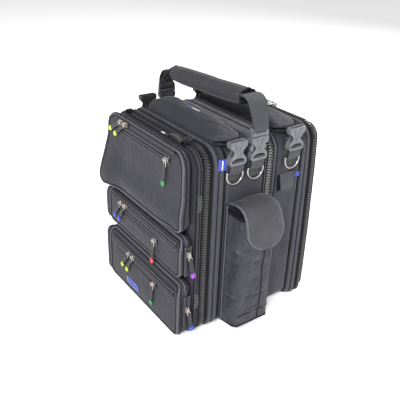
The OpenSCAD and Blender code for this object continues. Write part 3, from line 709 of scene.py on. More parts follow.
def cap(name, face, line, body, node_name, seed, soft):
    """Fabric tray of a cap: rim, piped or slanting edge, face and lining."""
    way = 1 if line > face else -1
    build = Build(NYLON, LINING, PIPING_AND_PAINTED_SHADE, THREAD)
    depth = abs(line - face)
    # the front cap has a piped edge, and the rear cap slants in from its zipper
    front = soft < 8
    start = 1.2
    if front:
        rows = [loop(line - way * d, o) for d, o in ((8.4, -1.7), (8.9, 0.3),
                                                     (9.9, 1.2), (12, 1.6), (14.5, 1.3))]
        for k in range(1, 9):
            a = k * math.pi / 16
            rows.append(loop(line - way * (depth - soft * (1 - math.sin(a))),
                             start - soft * (1 - math.cos(a))))
    else:
        rows = [loop(line - way * d, o) for d, o in
                ((8.0, -9.0), (8.3, -6.6), (9.4, -6.2), (12, -7.8), (15, -10.3), (18, -13.4), (20.6, -16.4),
                 (22.6, -19.6), (23.6, -22.4), (24, -25.5))]
        start = soft - 25.5
    base = rows[-1][:, [0, 2]]
    centre = np.array([(0, TALL / 2)])
    for k in np.concatenate([[0.02, 0.05, 0.09], np.linspace(0.13, 0.995, 16)]):
        xz = base + (centre - base) * k
        swell = 0.0 if front else -way * 0.8 * math.sin(math.pi * k)
        rows.append(at_depth(xz, face + swell + way * 0.4 * min(1, k * 10) + 0.9 * way * np.abs(
            ripple(at_depth(xz, 0), 55, 1.0, seed)) * min(1, k * 6)))
    build.grid(rows, 0)
    inner = OUT + NORMAL * (-6 if front else -27)
    back = [loop(line - way * d, o) for d, o in (((9, -4.3), (depth - 6, -4.3)) if front else ((9, -11), (depth - 6, -22)))]
    back += [at_depth(inner + (centre - inner) * k, face + way * 4) for k in (0, 0.2, 0.5, 0.8, 0.995)]
    build.grid(back, 1)
    build.grid([loop(line - way * d, o) for d, o in (((8.4, -1.7), (9, -4.3)) if front else ((8, -9), (9, -11)))], 1)
    build.stitches(loop(line - way * 10.8, 1.5 if front else -6.6), closed=True, material=3)
    if front:
        build.tube(loop(face + way * 1.4, start - 1.5), 1.5, 2, closed=True, up=(0, 1, 0))
        build.tube(loop(line - way * 12.6, 1.4), 1.2, 2, closed=True, up=(0, 1, 0))
    else:
        build.tube(loop(line - way * 12.6, -7.8), 1.5, 2, closed=True, up=(0, 1, 0))
        build.tube(at_depth(base + NORMAL * 1.2, face + way * 0.3), 1.3, 2, closed=True, up=(0, 1, 0))
        build.stitches(at_depth(base - NORMAL * 5, face - way * 0.2), closed=True, material=3)
    return finished(build.done(name), body, "fabric", node_name)

centre_section("main_hoop", ZIP1, ZIP2, (ZIP1 + 26, ZIP1 + 92), "main", "main_section", (True, False), 1.0)
centre_section("rear_hoop", ZIP2, ZIP3, (ZIP2 + 18, ZIP2 + 84), "rear_section",
               "rear_section", (False, True), 5.0)
cap("front_tray", FACE, ZIP1, "front_cap", "front_cap", 9.0, 5)
cap("rear_tray", BACK, ZIP3, "rear_cap", "rear_cap", 12.0, 20)
for name, body, halves in (("main_zips", "main", ((ZIP1, 1), (ZIP2, -1))),
                           ("rear_zips", "rear_section", ((ZIP2, 1), (ZIP3, -1))),
                           ("rear_cap_zip", "rear_cap", ((ZIP3, 1),))):
    build = Build(TAPE, TEETH, TEETH_PAINTED_HIGHLIGHT)
    for line, way in halves:
        # the main section's half at ZIP2 takes the lighter teeth copy, a painted highlight
        half_zip(build, line, way, 0, 2 if line == ZIP2 and way < 0 else 1,
                 0.8 if body == "rear_cap" else 0.0)
    replaced = {"main": "main_zip_tapes", "rear_section": "rear_zip_tapes", "rear_cap": "rear_cap_zip_tape"}
    finished(build.done(name), body, "zip_tape", replaced[body])

# ---------- pockets ----------

POCKETS = []                        # (object, surface tree) of each pocket
FACE_BUILD = Build(TAPE, COIL, NYLON, THREAD, PIPING_AND_PAINTED_SHADE)
half_zip(FACE_BUILD, ZIP1, -1, 0, 1)


def sagged(points, index):
    """Where points of a full pocket go: out at its left, and the top one overhangs."""
    points = np.array(points, float)
    x, y, z = points.T
    forward = ease((FACE - 4 - y) / 18)
    left = ease((-62 - x) / 56)
    if index == 0:
        out = 11 * ease((300 - z) / 50) * (1 - 0.5 * ease((x - 60) / 60)) + 12 * left * ease((342 - z) / 60)
    else:
        out = 6 * ease((-119 - x) / 13)
    points[:, 1] -= forward * out
    points[:, 0] -= forward * (11 if index else 7) * ease((-100 - x) / 28)
    return points


for index, name in enumerate(("pocket_top", "pocket_middle", "pocket_bottom")):
    low, high = corners(name)
    wide, tall, deep = high[0] - low[0], high[2] - low[2], high[1] - low[1]
    plane = low[1]
    corner = (30, 16, 16)[index]
    points, normals, run = outline(wide, tall, corner, low[2], 160)
    if not index:                   # the lower corners of the top pocket are the sharper ones
        arm = points - np.stack([np.sign(points[:, 0]) * (wide / 2 - corner), np.full(160, low[2] + corner)],
                                axis=1)
        inside = (np.sign(points[:, 0]) * arm[:, 0] > 0) & (arm[:, 1] < 0)
        turned = np.arctan2(-arm[:, 1], np.abs(arm[:, 0]))
        points += arm * np.where(inside, 0.27 * np.sin(2 * turned) ** 2, 0)[:, None]
    centre = np.array((0, (low[2] + high[2]) / 2))
    top_fall = (4, 9, 9)[index]     # how far the top of the face leans back

    def fall(xz, top=high[2], reach=(14, 22, 24)[index], much=top_fall):
        """How far back the surface lies near the pocket's top edge."""
        t = np.clip((xz[:, 1] - (top - reach)) / reach, 0, 1)
        return much * t * t

    def swell(xz, index=index, low=low, high=high):
        """How far the filled pocket's face stands out before it is inflated."""
        x, z = xz[:, 0], xz[:, 1]
        edge = np.clip(np.minimum(np.minimum(x - low[0], high[0] - x),
                                  np.minimum(z - low[2], high[2] - z)) / 38, 0, 1)
        crown = 1.5 * np.sin(edge * math.pi / 2)
        if index == 0:
            crown += 3.5 * np.exp(-(((x + 60) / 70) ** 2 + ((z - 280) / 40) ** 2)) * edge
        if index == 2:
            crown += 2.5 * np.exp(-(((x + 30) / 90) ** 2 + ((z - 40) / 30) ** 2)) * edge
        return crown
    tuck = (12, 4, 4)[index]
    rows = []
    for t in np.linspace(0, 1, 6):
        inset = tuck * (1 - t) ** 1.4 + 0.4
        xz = points - normals * inset
        rows.append(at_depth(xz, FACE - 1.5 - (deep - 6.5) * t + fall(points) * t))
    for k in range(1, 6):
        a = k * math.pi / 10
        xz = points - normals * (0.4 + 5 * (1 - math.cos(a)))
        rows.append(at_depth(xz, plane + 5 - 5 * math.sin(a) + fall(points)))
    base = points - normals * 5.4
    for k in list(np.linspace(0.06, 1, 12)):
        xz = base + (centre - base) * min(k, 0.995)
        rows.append(at_depth(xz, plane + fall(xz) - swell(xz)))
    build = Build(NYLON)
    build.grid(rows, 0)
    build.add(rows[0], [tuple(range(160))])
    shell = build.done(name + "_shell")
    zips = ((370, 354), (203, 182), (102, 86))[index]

    def held(co, plane=plane, low=low, high=high, zips=zips, deep=deep):
        """Hold on the seams: the sides, the edge of the face, and along the zippers."""
        x, y, z = (co / MM).T
        edge = np.minimum(np.minimum(x - low[0], high[0] - x), np.minimum(z - low[2], high[2] - z))
        side = y > plane + 7
        hold = np.clip(1 - (edge - 6) / 10, 0, 1)
        for line in zips:
            hold = np.maximum(hold, np.clip(1.5 - np.abs(z - line) / 9, 0, 1))
        return np.where(side, np.where(edge < 3, 0.8, 1.0), hold)
    inflate(shell, held, cap=(5 * MM, 3.5 * MM, 4 * MM)[index])
    mm = sagged(coordinates(shell) / MM, index)
    gusset = ease((np.abs(mm[:, 0]) - 126) / 4) * ease((mm[:, 1] - plane - 3) / 4) * ease((FACE - 3 - mm[:, 1]) / 4)
    mm[:, 0] += np.sign(mm[:, 0]) * gusset * (0.5 - 3.0
                                              * np.abs(ripple(mm * (1, 1.3, 0.8), 20, 1.0, 71.0 + index)))
    shell.data.vertices.foreach_set("co", (mm * MM).ravel())
    tree = BVHTree.FromObject(shell, bpy.context.evaluated_depsgraph_get())

    def on_face(x, z, lift=0.0, tree=tree, plane=plane):
        """The point of the pocket's face at x and z, raised by lift."""
        hit = tree.ray_cast(Vector((x * MM, (plane - 60) * MM, z * MM)), Vector((0, 1, 0)))[0]
        y = (hit or tree.find_nearest(Vector((x * MM, plane * MM, z * MM)))[0]).y / MM
        return np.array((x, y - lift, z))
    # painted shade: the faces under the pocket's lower edge get the black piping cloth
    under = (mm[:, 2] < low[2] + 5) & (mm[:, 1] > plane + 1) & (mm[:, 2] > 12)
    shell.data.materials.append(PIPING_AND_PAINTED_SHADE)
    for face in shell.data.polygons:
        face.material_index = int(all(under[v] for v in face.vertices))
    finished(shell, "front_cap", "fabric", name)
    POCKETS.append((low, high, on_face, points, normals, tree, corner))


def gentle(path, times=6):
    """The same path with its depth smoothed."""
    path = np.array(path)
    for _ in range(times):
        path[1:-1, 1] = (path[:-2, 1] + 2 * path[1:-1, 1] + path[2:, 1]) / 4
    return path


def coil_zip(build, path, across, width=14.0):
    """A closed coil zipper along path: tape, two rows of coil, folded lips and their stitches."""
    path = np.asarray(path, float)
    across = unit(np.array(across, float))
    along = tangents(path, False)
    out = unit(np.cross(along, across))
    if out[0][1] > 0.5 or (abs(out[0][0]) > 0.5 and out[0][0] < 0):
        out = -out
    build.ribbon(path + out * 0.3, across, width, 0.9, 0)
    run = distances(path)
    for side in (-1, 1):
        build.tube(path + out * 1.0 + across * side * 1.7, 0.7, 0, sides=6)
        for at in np.arange(0.5 if side > 0 else 1.35, run[-1] - 0.5, 1.7):
            spot = np.array([np.interp(at, run, path[:, k]) for k in range(3)])
            j = min(int(np.searchsorted(run, at)), len(path) - 1)
            a, o = along[j], out[j]
            place = Matrix(((a[0], across[0], o[0], spot[0]), (a[1], across[1], o[1], spot[1]),
                            (a[2], across[2], o[2], spot[2]), (0, 0, 0, 1)))
            build.prism([(-0.5, side * 2.1), (0.5, side * 2.1), (0.6, -side * 0.4), (-0.6, -side * 0.4)],
                        0.3, 1.8, place, 1)
        build.ribbon(path + out * 0.75 + across * side * (width / 2 - 0.6), across, 4.2, 1.3, 2)
        build.stitches(path + out * 1.5 + across * side * (width / 2 + 0.4), material=3)


REACH = (104, 119, 119)
GUSSET_Z, FACE_Z = (370, 203, 102), (354, 182, 86)
FACE_X = ((-100, 93), (-92, 60), (-104, 60))
for index, (low, high, on_face, points, normals, tree, corner) in enumerate(POCKETS):
    for z, (x0, x1) in ((GUSSET_Z[index], (-REACH[index], REACH[index])), (FACE_Z[index], FACE_X[index])):
        xs = np.linspace(x0, x1, 60)
        path = gentle([on_face(x, z, 0.2) for x in xs])
        coil_zip(FACE_BUILD, path, (0, 0, 1))
SIDE_ZIP_Z, SIDE_ZIP_Y = (None, (146, 206), (22, 100)), FACE - 12
for (low, high, *_), reach in zip(POCKETS, SIDE_ZIP_Z):
    if reach:
        path = [(high[0] + 0.5, SIDE_ZIP_Y, z) for z in np.linspace(*reach, 30)]
        coil_zip(FACE_BUILD, path, (0, 1, 0), width=11.0)
finished(FACE_BUILD.done("front_cap_zips"), "front_cap", "zip_tape", "front_cap_zip_tapes")

for index, (low, high, on_face, points, normals, tree, corner) in enumerate(POCKETS):
    build = Build(PIPING_AND_PAINTED_SHADE, THREAD, EDGING)

    def hug(path, tree=tree, index=index):
        """The path laid on the pocket's surface."""
        return [tree.find_nearest(Vector(p) * MM)[0] / MM for p in sagged(path, index)]

    def around(inset, lift):
        """A line round the pocket's face, that far in from its edge."""
        path = np.array([on_face(x, z, lift) for x, z in points - normals * inset])
        for _ in range(4):
            path[:, 1] = (np.roll(path[:, 1], 1) + 2 * path[:, 1] + np.roll(path[:, 1], -1)) / 4
        return path
    build.tube(around(3.6, 0.2), 1.9, 2, closed=True, up=(0, 1, 0))
    # the thin dark tubes beside the grey piping are painted shade in the creases along it
    build.tube(around(6.4, 0.1), 1.2, 0, closed=True, up=(0, 1, 0))
    build.tube(hug(at_depth(points + normals * 0.1, low[1] + 6.5)), 1.2, 0, closed=True, up=(0, 1, 0))
    build.stitches(around(9.5, 0.2), closed=True, material=1)
    # the dark tube round the pocket's back edge is painted shade in the gap between pocket and cap
    back = at_depth(points - normals * ((11.5, 4.5, 4.5)[index]), FACE - 3)
    build.tube(back, 1.7, 0, closed=True, up=(0, 1, 0))
    if index:
        middle = (low[1] + FACE) / 2
        build.tube(hug(at_depth(points + normals * 0.2, middle + 2)), 1.4, 2, closed=True, up=(0, 1, 0))
        build.tube(hug(at_depth(points - normals * 0.2, middle + 4.2)), 1.0, 0, closed=True, up=(0, 1, 0))
    finished(build.done(("top", "middle", "bottom")[index] + "_pocket_piping"), "front_cap", "fabric")

# ---------- top lids ----------


def lid(name, body, seed):
    """Padded lid: a crowned cushion, its piping, its zipper and a plain patch."""
    low, high = corners(name)
    wide, deep, tall = high[0] - low[0], high[1] - low[1], high[2] - low[2]
    points, normals, run = outline(wide - 3, deep - 3, 26, 0, 150)
    points = points + (0, low[1] + 1.5)
    centre = np.array((0, (low[1] + high[1]) / 2))

    def ring(inset, z):
        xy = points - normals * inset
        return np.stack([xy[:, 0], xy[:, 1], np.broadcast_to(z, len(xy))], axis=1)
    rows = [ring(3, low[2] + 0.4), ring(0.6, low[2] + 0.9), ring(0, low[2] + 2.6), ring(0.4, low[2] + 4.2),
            ring(2.2, low[2] + 5.6)]
    base = points - normals * 2.2
    for k in np.linspace(0.08, 0.995, 12):
        xy = base + (centre - base) * k
        z = low[2] + 5.6 + (tall + 2.0) * (1 - (1 - k) ** 2.6)
        rows.append(np.stack([xy[:, 0], xy[:, 1], np.full(len(xy), z)], axis=1))
    build = Build(NYLON)
    build.grid(rows, 0)
    build.add(rows[0], [tuple(range(150))])
    pad = build.done(name + "_pad")

    def held(co):
        x, y, z = (co / MM).T
        edge = np.minimum(wide / 2 - np.abs(x), deep / 2 - np.abs(y - centre[1]))
        return np.clip(np.where(z < low[2] + 4, 1.0, 1 - (edge - 5) / 8), 0, 1)
    inflate(pad, held, voxel=4 * MM, cap=5 * MM, pressure=3.5)
    co = coordinates(pad)
    mm = co / MM
    away = np.clip((mm[:, 2] - low[2] - 4) / 4, 0, 1)
    towards = np.clip((np.abs(mm[:, 0]) - 55) / 60, 0, 1)
    creases = ripple(mm * (0.6, 1.5, 0.5), 45, 1.8,
                     seed) - towards * np.abs(ripple(mm * (1.6, 1, 1), 34, 4.2, seed + 3))
    left = 7 * ease((-25 - mm[:, 0]) / 60) * np.clip((wide / 2 - np.abs(mm[:, 0]) - 2) / 16, 0, 1)
    inner = np.clip((deep / 2 - np.abs(mm[:, 1] - centre[1]) - 2) / 12, 0, 1)
    co[:, 2] += away * (creases + left * inner) * MM
    co[:, 2] = np.maximum(co[:, 2], (low[2] + 0.3) * MM)
    pad.data.vertices.foreach_set("co", co.ravel())
    finished(pad, name, "fabric", name)

    trim = Build(PIPING_AND_PAINTED_SHADE, TAPE, COIL, THREAD, LABEL_BLUE, LABEL_WHITE)
    # the front edge is the hinge, so its piping and zipper stop short of it
    behind = points[:, 1] > low[1] + 8
    trim.tube(ring(-0.4, low[2] + 3.4)[behind], 1.7, 0)
    trim.stitches(ring(4.6, low[2] + 6.3), closed=True, material=3)
    if body == "main":
        tree = BVHTree.FromObject(pad, bpy.context.evaluated_depsgraph_get())

        def on_lid(x, y, lift):
            hit = tree.ray_cast(Vector((x * MM, y * MM, 1)), Vector((0, 0, -1)))[0]
            return (x, y, (hit.z / MM if hit else high[2]) + lift)
        for x0, x1, y0, y1, colour in ((-18, -9, 3, 10, 4), (-8, 16, 5, 9, 5)):
            rows = [[on_lid(x, centre[1] + y, 0.35) for y in np.linspace(y0, y1, 4)]
                    for x in np.linspace(x0, x1, 7)]
            trim.grid(rows, colour, around=False)
    finished(trim.done(name + "_piping"), name, "zip_tape")

    below = Build(TAPE, COIL, PIPING_AND_PAINTED_SHADE)
    path = ring(-4.8, TALL + 0.5)
    below.ribbon(path[behind], (0, 0, 1), 1.0, 7.0, 0)
    below.tube(ring(-3.2, TALL + 0.9)[behind], 0.9, 1, sides=6)
    below.tube(ring(-8.6, TALL + 0.3), 1.5, 2, closed=True, sides=6)
    finished(below.done(name + "_zip"), body, "zip_tape")


lid("main_lid", "main", 21.0)
lid("rear_lid", "rear_section", 27.0)

# ---------- carry handle ----------

GRIP_LOW, GRIP_HIGH = corners("handle_grip")
HANDLE_Y = (GRIP_LOW[1] + GRIP_HIGH[1]) / 2
GRIP_Z = GRIP_HIGH[2] - 18


def hang(points):
    """The handle isn't quite level: its left end hangs lower than its right."""
    points = np.array(points, float)
    rise = np.clip((points[:, 2] - 408) / 26, 0, 1)
    points[:, 2] += rise * np.interp(points[:, 0], (-120, 120), (-9, 4))
    return points


def grip():
    """Padded wrap: a hollow tube of soft fabric that is closed by an overlapping flap."""
    build = Build(PANEL)
    angles = np.linspace(0, 2 * math.pi, 40, endpoint=False)

    def ring(x, shrink):
        """Round in the middle of the grip, and flattened round the webbing at its ends."""
        pinch = max(0.0, (abs(x) - 50) / 57) ** 2
        wide, tall = 16.4 + 1.8 * pinch - shrink, 16.2 - 3.2 * pinch - shrink * 0.9
        up = 2.6 * pinch
        rows = []
        for a in angles:
            y = wide * math.copysign(abs(math.cos(a)) ** 0.85, math.cos(a))
            z = tall * math.copysign(abs(math.sin(a)) ** 0.85, math.sin(a))
            rows.append((x, HANDLE_Y + y, GRIP_Z + up + z))
        return rows
    outer = [ring(x, 0) for x in np.linspace(-109, 109, 42)]
    ends = [ring(110.4, 0.8), ring(110.8, 2.4), ring(110, 4.0)]
    inner = [ring(x, 5) for x in np.linspace(104, -104, 20)]
    other = [ring(-110, 4.0), ring(-110.8, 2.4), ring(-110.4, 0.8)]
    build.grid(outer + ends + inner + other, 0, ring=True)
    wrap = build.done("grip_wrap")

    def held(co):
        x, y, z = (co / MM).T
        inside = np.hypot(y - HANDLE_Y, z - GRIP_Z) < 12.5
        return np.where(inside, 1.0, np.clip(1 - (98 - np.abs(x)) / 10, 0, 1))
    inflate(wrap, held, voxel=4 * MM, cap=1.6 * MM, pressure=2.5)
    co = coordinates(wrap) / MM
    radial = co - np.stack([co[:, 0], np.full(len(co), HANDLE_Y), np.full(len(co), GRIP_Z)], axis=1)
    outside = np.clip((np.linalg.norm(radial[:, 1:], axis=1) - 12.5) / 2, 0, 1)
    wave = ripple(co * (0.6, 1, 1), 34, 0.9, 31.0)
    co += unit(radial * (0, 1, 1)) * (outside * wave)[:, None]
    wrap.data.vertices.foreach_set("co", (hang(co) * MM).ravel())
    finished(wrap, "handle", "panel", "handle_grip")

    trim = Build(PIPING_AND_PAINTED_SHADE, PANEL, THREAD)
    tree = BVHTree.FromObject(wrap, bpy.context.evaluated_depsgraph_get())

    def on_grip(x, angle, lift):
        a = math.radians(angle)
        out = Vector((0, math.cos(a), math.sin(a)))
        middle = hang([(x, HANDLE_Y, GRIP_Z + (2.6 * (max(0, abs(x) - 50) / 57) ** 2))])[0]
        start = Vector(middle) * MM + out * 0.05
        hit = tree.ray_cast(start, -out)[0]
        spot = hit if hit else start - out * 0.033
        return tuple((spot + out * lift * MM) / MM)
    flap = []
    for x in np.linspace(-104, 104, 52):
        flap.append([on_grip(x, angle, lift) for angle, lift in
                     ((214, 0.1), (216, 1.5), (222, 1.9), (236, 1.7), (252, 1.6),
                      (270, 1.5), (290, 0.9), (300, 0.0))])
    trim.grid(flap, 1, around=False)
    trim.stitches([on_grip(x, 224, 2.0) for x in np.linspace(-100, 100, 80)], material=2)
    for side in (-1, 1):
        path = [on_grip(side * 108, a, 0.1) for a in np.linspace(0, 360, 48, endpoint=False)]
        trim.tube([(side * 109.6, p[1], p[2]) for p in path], 1.6, 0, closed=True, up=(1, 0, 0))
        path = [on_grip(side * 102, a, 0.3) for a in np.linspace(0, 360, 48, endpoint=False)]
        trim.stitches(path, closed=True, material=2)
    finished(trim.done("grip_binding"), "handle", "panel")


grip()


def handle_strap(way):
    """One side of the handle: double webbing from the clip's bar up and into the grip."""
    build = Build(WEBBING, THREAD, WEBBING_PAINTED_SHADE, PALE_THREAD)
    bar_x, bar_z = 145.0, 400.0
    # the left strap takes the darker webbing copy, painted shade
    cloth, thread = (0, 1) if way > 0 else (2, 3)
    path = [(bar_x - 2.2, 407), (bar_x - 3.6, 403.5), (bar_x - 3.9, bar_z), (bar_x - 2.6, bar_z - 3.2),
            (bar_x, bar_z - 4.1), (bar_x + 2.8, bar_z - 3.0), (bar_x + 4.1, bar_z),
            (bar_x + 4.2, bar_z + 6), (146.8, 415), (143, 424), (139, 433),
            (134, 440.5), (127, 445.5), (117, 447.6),
            (98, 446)]
    path = smooth_path([(way * x, HANDLE_Y, z) for x, z in path], 90)
    run = np.linspace(0, 1, 90)
    build.ribbon(path, (0, 1, 0), 31.5 + 7.0 * np.clip((run - 0.3) / 0.2, 0, 1) - 4
                 * np.clip((run - 0.8) / 0.1, 0, 1), 3.0,
                 cloth)
    inside = [(146.2, 405), (143.9, 413.5), (140.1, 422.6), (136.2, 431.4),
              (131.8, 438), (125.6, 442.5), (117, 444.4),
              (104, 443.4)]
    build.ribbon(smooth_path([(way * x, HANDLE_Y, z) for x, z in inside], 60), (0, 1, 0), 31.0, 2.2, cloth)
    for y in (-13, 13):
        build.stitches(smooth_path([(way * (149.9 - 2.2 * k), HANDLE_Y + y, 409 + 6 * k) for k in (0, 1)], 8),
                       material=thread)
    for z in (409, 415):
        build.stitches([(way * (149.9 if z < 413 else 148.0), HANDLE_Y + y, z)
                        for y in np.linspace(-13, 13, 9)], material=thread)
    inner_face = smooth_path([(way * x, HANDLE_Y, z) for x, z in inside], 60)[6:46] - (way * 1.5, 0, 0.6)
    # the box and cross that hold its two layers
    for y0, y1 in ((-13, 13), (13, -13), (-13, -13), (13, 13)):
        for first, last in ((0, 20), (20, 39)):
            part = inner_face[first:last + 1]
            build.stitches(part + np.linspace((0, y0, 0), (0, y1, 0), len(part)), radius=0.5, material=thread)
    return build


both_straps = handle_strap(1).join(handle_strap(-1))
both_straps.verts = [hang(v) for v in both_straps.verts]
strap = both_straps.done("handle_straps")
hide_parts("handle_webbing")
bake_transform(strap)

# ---------- buckles, webbing and rings ----------


def rounded(loop2, radius, steps=4):
    """A 2-D outline with its corners rounded."""
    out = []
    count = len(loop2)
    for i in range(count):
        p, c, n = (np.array(loop2[(i + k) % count], float) for k in (-1, 0, 1))
        a, b = p - c, n - c
        r = min(radius, np.linalg.norm(a) / 2.1, np.linalg.norm(b) / 2.1)
        a, b = c + a / np.linalg.norm(a) * r, c + b / np.linalg.norm(b) * r
        for t in np.linspace(0, 1, steps):
            out.append(tuple((1 - t) ** 2 * a + 2 * t * (1 - t) * c + t * t * b))
    return out


def on_side(x, y, z=0.0):
    """Axes of a flat moulding on the right side: its width along -Y... to +Y, its height up, facing +X."""
    return Matrix(((0, 0, 1, x), (1, 0, 0, y), (0, 1, 0, z), (0, 0, 0, 1)))


RX, RZ = 145.0, 346.0


def receiver(build, y):
    """Hollow half of a side-release buckle: waisted plates, arched foot, collar and webbing bar."""
    half = [(15.5, 0), (17.6, 3.5), (17.4, 8.5), (14.2, 14.5), (9.4, 19),
            (8.8, 23.5), (12.5, 28.2), (17.4, 31.4),
            (18, 36), (18, 42)]
    whole = rounded(half + [(-u, v) for u, v in reversed(half)], 2.6)
    arch = [(13.6, 4.6)] + [(13.6 * math.cos(a), 6.5 + 5.6 * math.sin(a))
                            for a in np.linspace(0, math.pi, 11)]
    arch += [(-13.6, 4.6)]
    for x in (RX - 4.7, RX + 4.7):
        build.plate([whole, arch], 2.6, 0.9, on_side(x, y, RZ))
    lower = [(15.3, 0.3), (17.3, 3.5), (17.1, 8.5), (13.6, 14.6)]
    foot = rounded(lower + [(-u, v) for u, v in reversed(lower)], 2.2)
    build.plate([foot, arch], 8.6, 0.4, on_side(RX, y, RZ))
    for side in (-1, 1):
        build.block((RX - 4.6, y + side * 16.4 - 1.3, RZ + 31.5),
                    (RX + 4.6, y + side * 16.4 + 1.3, RZ + 41.7), 0.6)
    ridge = rounded([(9.5, 41.4), (2.4, 18.5), (-2.4, 18.5), (-9.5, 41.4),
                     (-6.6, 41.4), (0, 22.5), (6.6, 41.4)], 0.7)
    build.plate([ridge], 2.0, 0.6, on_side(RX + 6.4, y, RZ))
    build.tube([(RX, y + t, RZ + 3) for t in np.linspace(-15, 15, 12)], 2.3, 0, up=(1, 0, 0), sides=12)


def clip(build, y):
    """The handle's half of the buckle, without its two prongs."""
    z = 388.4
    outer = rounded([(18.4, 0), (18.5, 5.5), (18.0, 15), (-18.0, 15), (-18.5, 5.5), (-18.4, 0)], 1.8)
    hole = rounded([(16.2, 6.2), (16.2, 9.2), (-16.2, 9.2), (-16.2, 6.2)], 0.8)
    build.plate([outer, hole], 7.4, 1.1, on_side(RX, y, z))
    build.tube([(RX, y + t, 400) for t in np.linspace(-17, 17, 12)], 2.1, 0, up=(1, 0, 0), sides=12)
    build.block((RX - 4.5, y - 18.2, z), (RX + 4.5, y + 18.2, z + 4.4), 1.1)
    build.plate([rounded([(4, 1), (3.2, -20), (0, -22), (-3.2, -20), (-4, 1)], 1.5)],
                4.8, 0.8, on_side(RX, y, z))
    for side in (-1, 1):
        build.block((RX + 2.6, y + side * 13.2 - 1.8, z + 3.6),
                    (RX + 5.0, y + side * 13.2 + 1.8, z + 14.6), 0.7)


def prong(build, y, way):
    """Springy side prong with its ribbed thumb pad."""
    top = 388.1
    arm = [(9.7, 0), (14.1, 0), (14.3, -11), (14.8, -17.6), (17.5, -18.8), (17.7, -22.6), (15.2, -25.4),
           (11.4, -25.8), (10.0, -20)]
    build.plate([rounded([(way * u, v) for u, v in arm], 1.4)], 4.8, 0.7, on_side(RX, y, top))
    for v in (-19.8, -21.2, -22.6):
        build.block((RX - 2.2, y + way * 17.5 - 0.4, top + v - 0.3),
                    (RX + 2.2, y + way * 17.5 + 0.5, top + v + 0.3), 0.2)


def ring_webbing(build, y):
    """Webbing loop between the receiver's bar and a D-ring, and the patch that holds it to the side."""
    ring_x, ring_z = 143.0, 331.0
    outer = [(RX + 3.9, RZ + 4), (RX + 2.6, RZ + 6.4), (RX, RZ + 7.3),
             (RX - 2.7, RZ + 6.2), (RX - 3.9, RZ + 3),
             (RX - 4.6, ring_z + 9), (ring_x - 3.1, ring_z), (ring_x - 1.8, ring_z - 2.6),
             (ring_x, ring_z - 3.2),
             (ring_x + 2.4, ring_z - 2.2), (ring_x + 3.4, ring_z + 1), (RX + 3.2, ring_z + 8)]
    build.ribbon(smooth_path([(x, y, z) for x, z in outer], 60, closed=True),
                 (0, 1, 0), 28.5, 2.0, 0, closed=True)
    tail = smooth_path([(x, y, z) for x, z in ((137.6, 312), (138.0, 326), (138.2, 340), (138.2, 356), (137.4, 367))], 30)
    build.ribbon(tail, (0, 1, 0), 30.0, 2.2, 0)
    for z in (315.5, 322, 357, 364):
        build.stitches([(139.5, y + t, z) for t in np.linspace(-12, 12, 9)], material=1)
    for t in (-12, 12):
        build.stitches([(139.5, y + t, z) for z in np.linspace(315.5, 364, 15)], material=1)
    build.block((136.2, y - 9, RZ + 1.6), (RX - 3.0, y + 9, RZ + 4.4), 1.0)


def wire_ring(build, y):
    """D-ring of round wire with a straight bar at its top."""
    x, z = 143.0, 331.0
    path = [(x, y + t, z) for t in np.linspace(-13.5, 13.5, 9)]
    path += [(x, y + 16, z - 0.7), (x, y + 17, z - 3)]
    path += [(x, y + 17 * math.cos(a), z - 5 - 17 * math.sin(a)) for a in np.linspace(0, math.pi, 24)]
    path += [(x, y - 17, z - 3), (x, y - 16, z - 0.7)]
    build.tube(smooth_path(path, 110, closed=True), 1.8, 0, closed=True, up=(1, 0, 0), sides=12)


def both(made, shift=1):
    """The same on both sides of the bag. The left side is in the next material, which for the buckles and webbing is
    a darker copy with painted shade.
    """
    return made.join(made.mirrored(shift))


FRONT_Y, MID_Y = (sum(corners(n)[k][1] for k in (0, 1)) / 2
                  for n in ("d_ring_right_front", "d_ring_right_mid"))
REAR_Y = sum(corners("d_ring_right_rear")[k][1] for k in (0, 1)) / 2
build = Build(BUCKLE, BUCKLE_PAINTED_SHADE)
receiver(build, FRONT_Y)
receiver(build, MID_Y)
finished(both(build).done("main_receivers"), "main", "buckle", "buckle_receivers")
build = Build(BUCKLE, BUCKLE_PAINTED_SHADE)
receiver(build, REAR_Y)
finished(both(build).done("rear_receivers"), "rear_section", "buckle", "rear_buckle_receivers")
build = Build(BUCKLE, BUCKLE_PAINTED_SHADE)
clip(build, MID_Y)
finished(both(build).done("clips"), "main", "buckle", "handle_clips")
for way, name in ((-1, "latch_front"), (1, "latch_rear")):
    build = Build(BUCKLE, BUCKLE_PAINTED_SHADE)
    prong(build, MID_Y, way)
    finished(both(build).done("prong_" + name[6:]), name, "buckle", name)
build = Build(WEBBING, THREAD, WEBBING_PAINTED_SHADE, THREAD)
ring_webbing(build, FRONT_Y)
ring_webbing(build, MID_Y)
finished(both(build, 2).done("ring_straps"), "main", "webbing", "buckle_webbing")

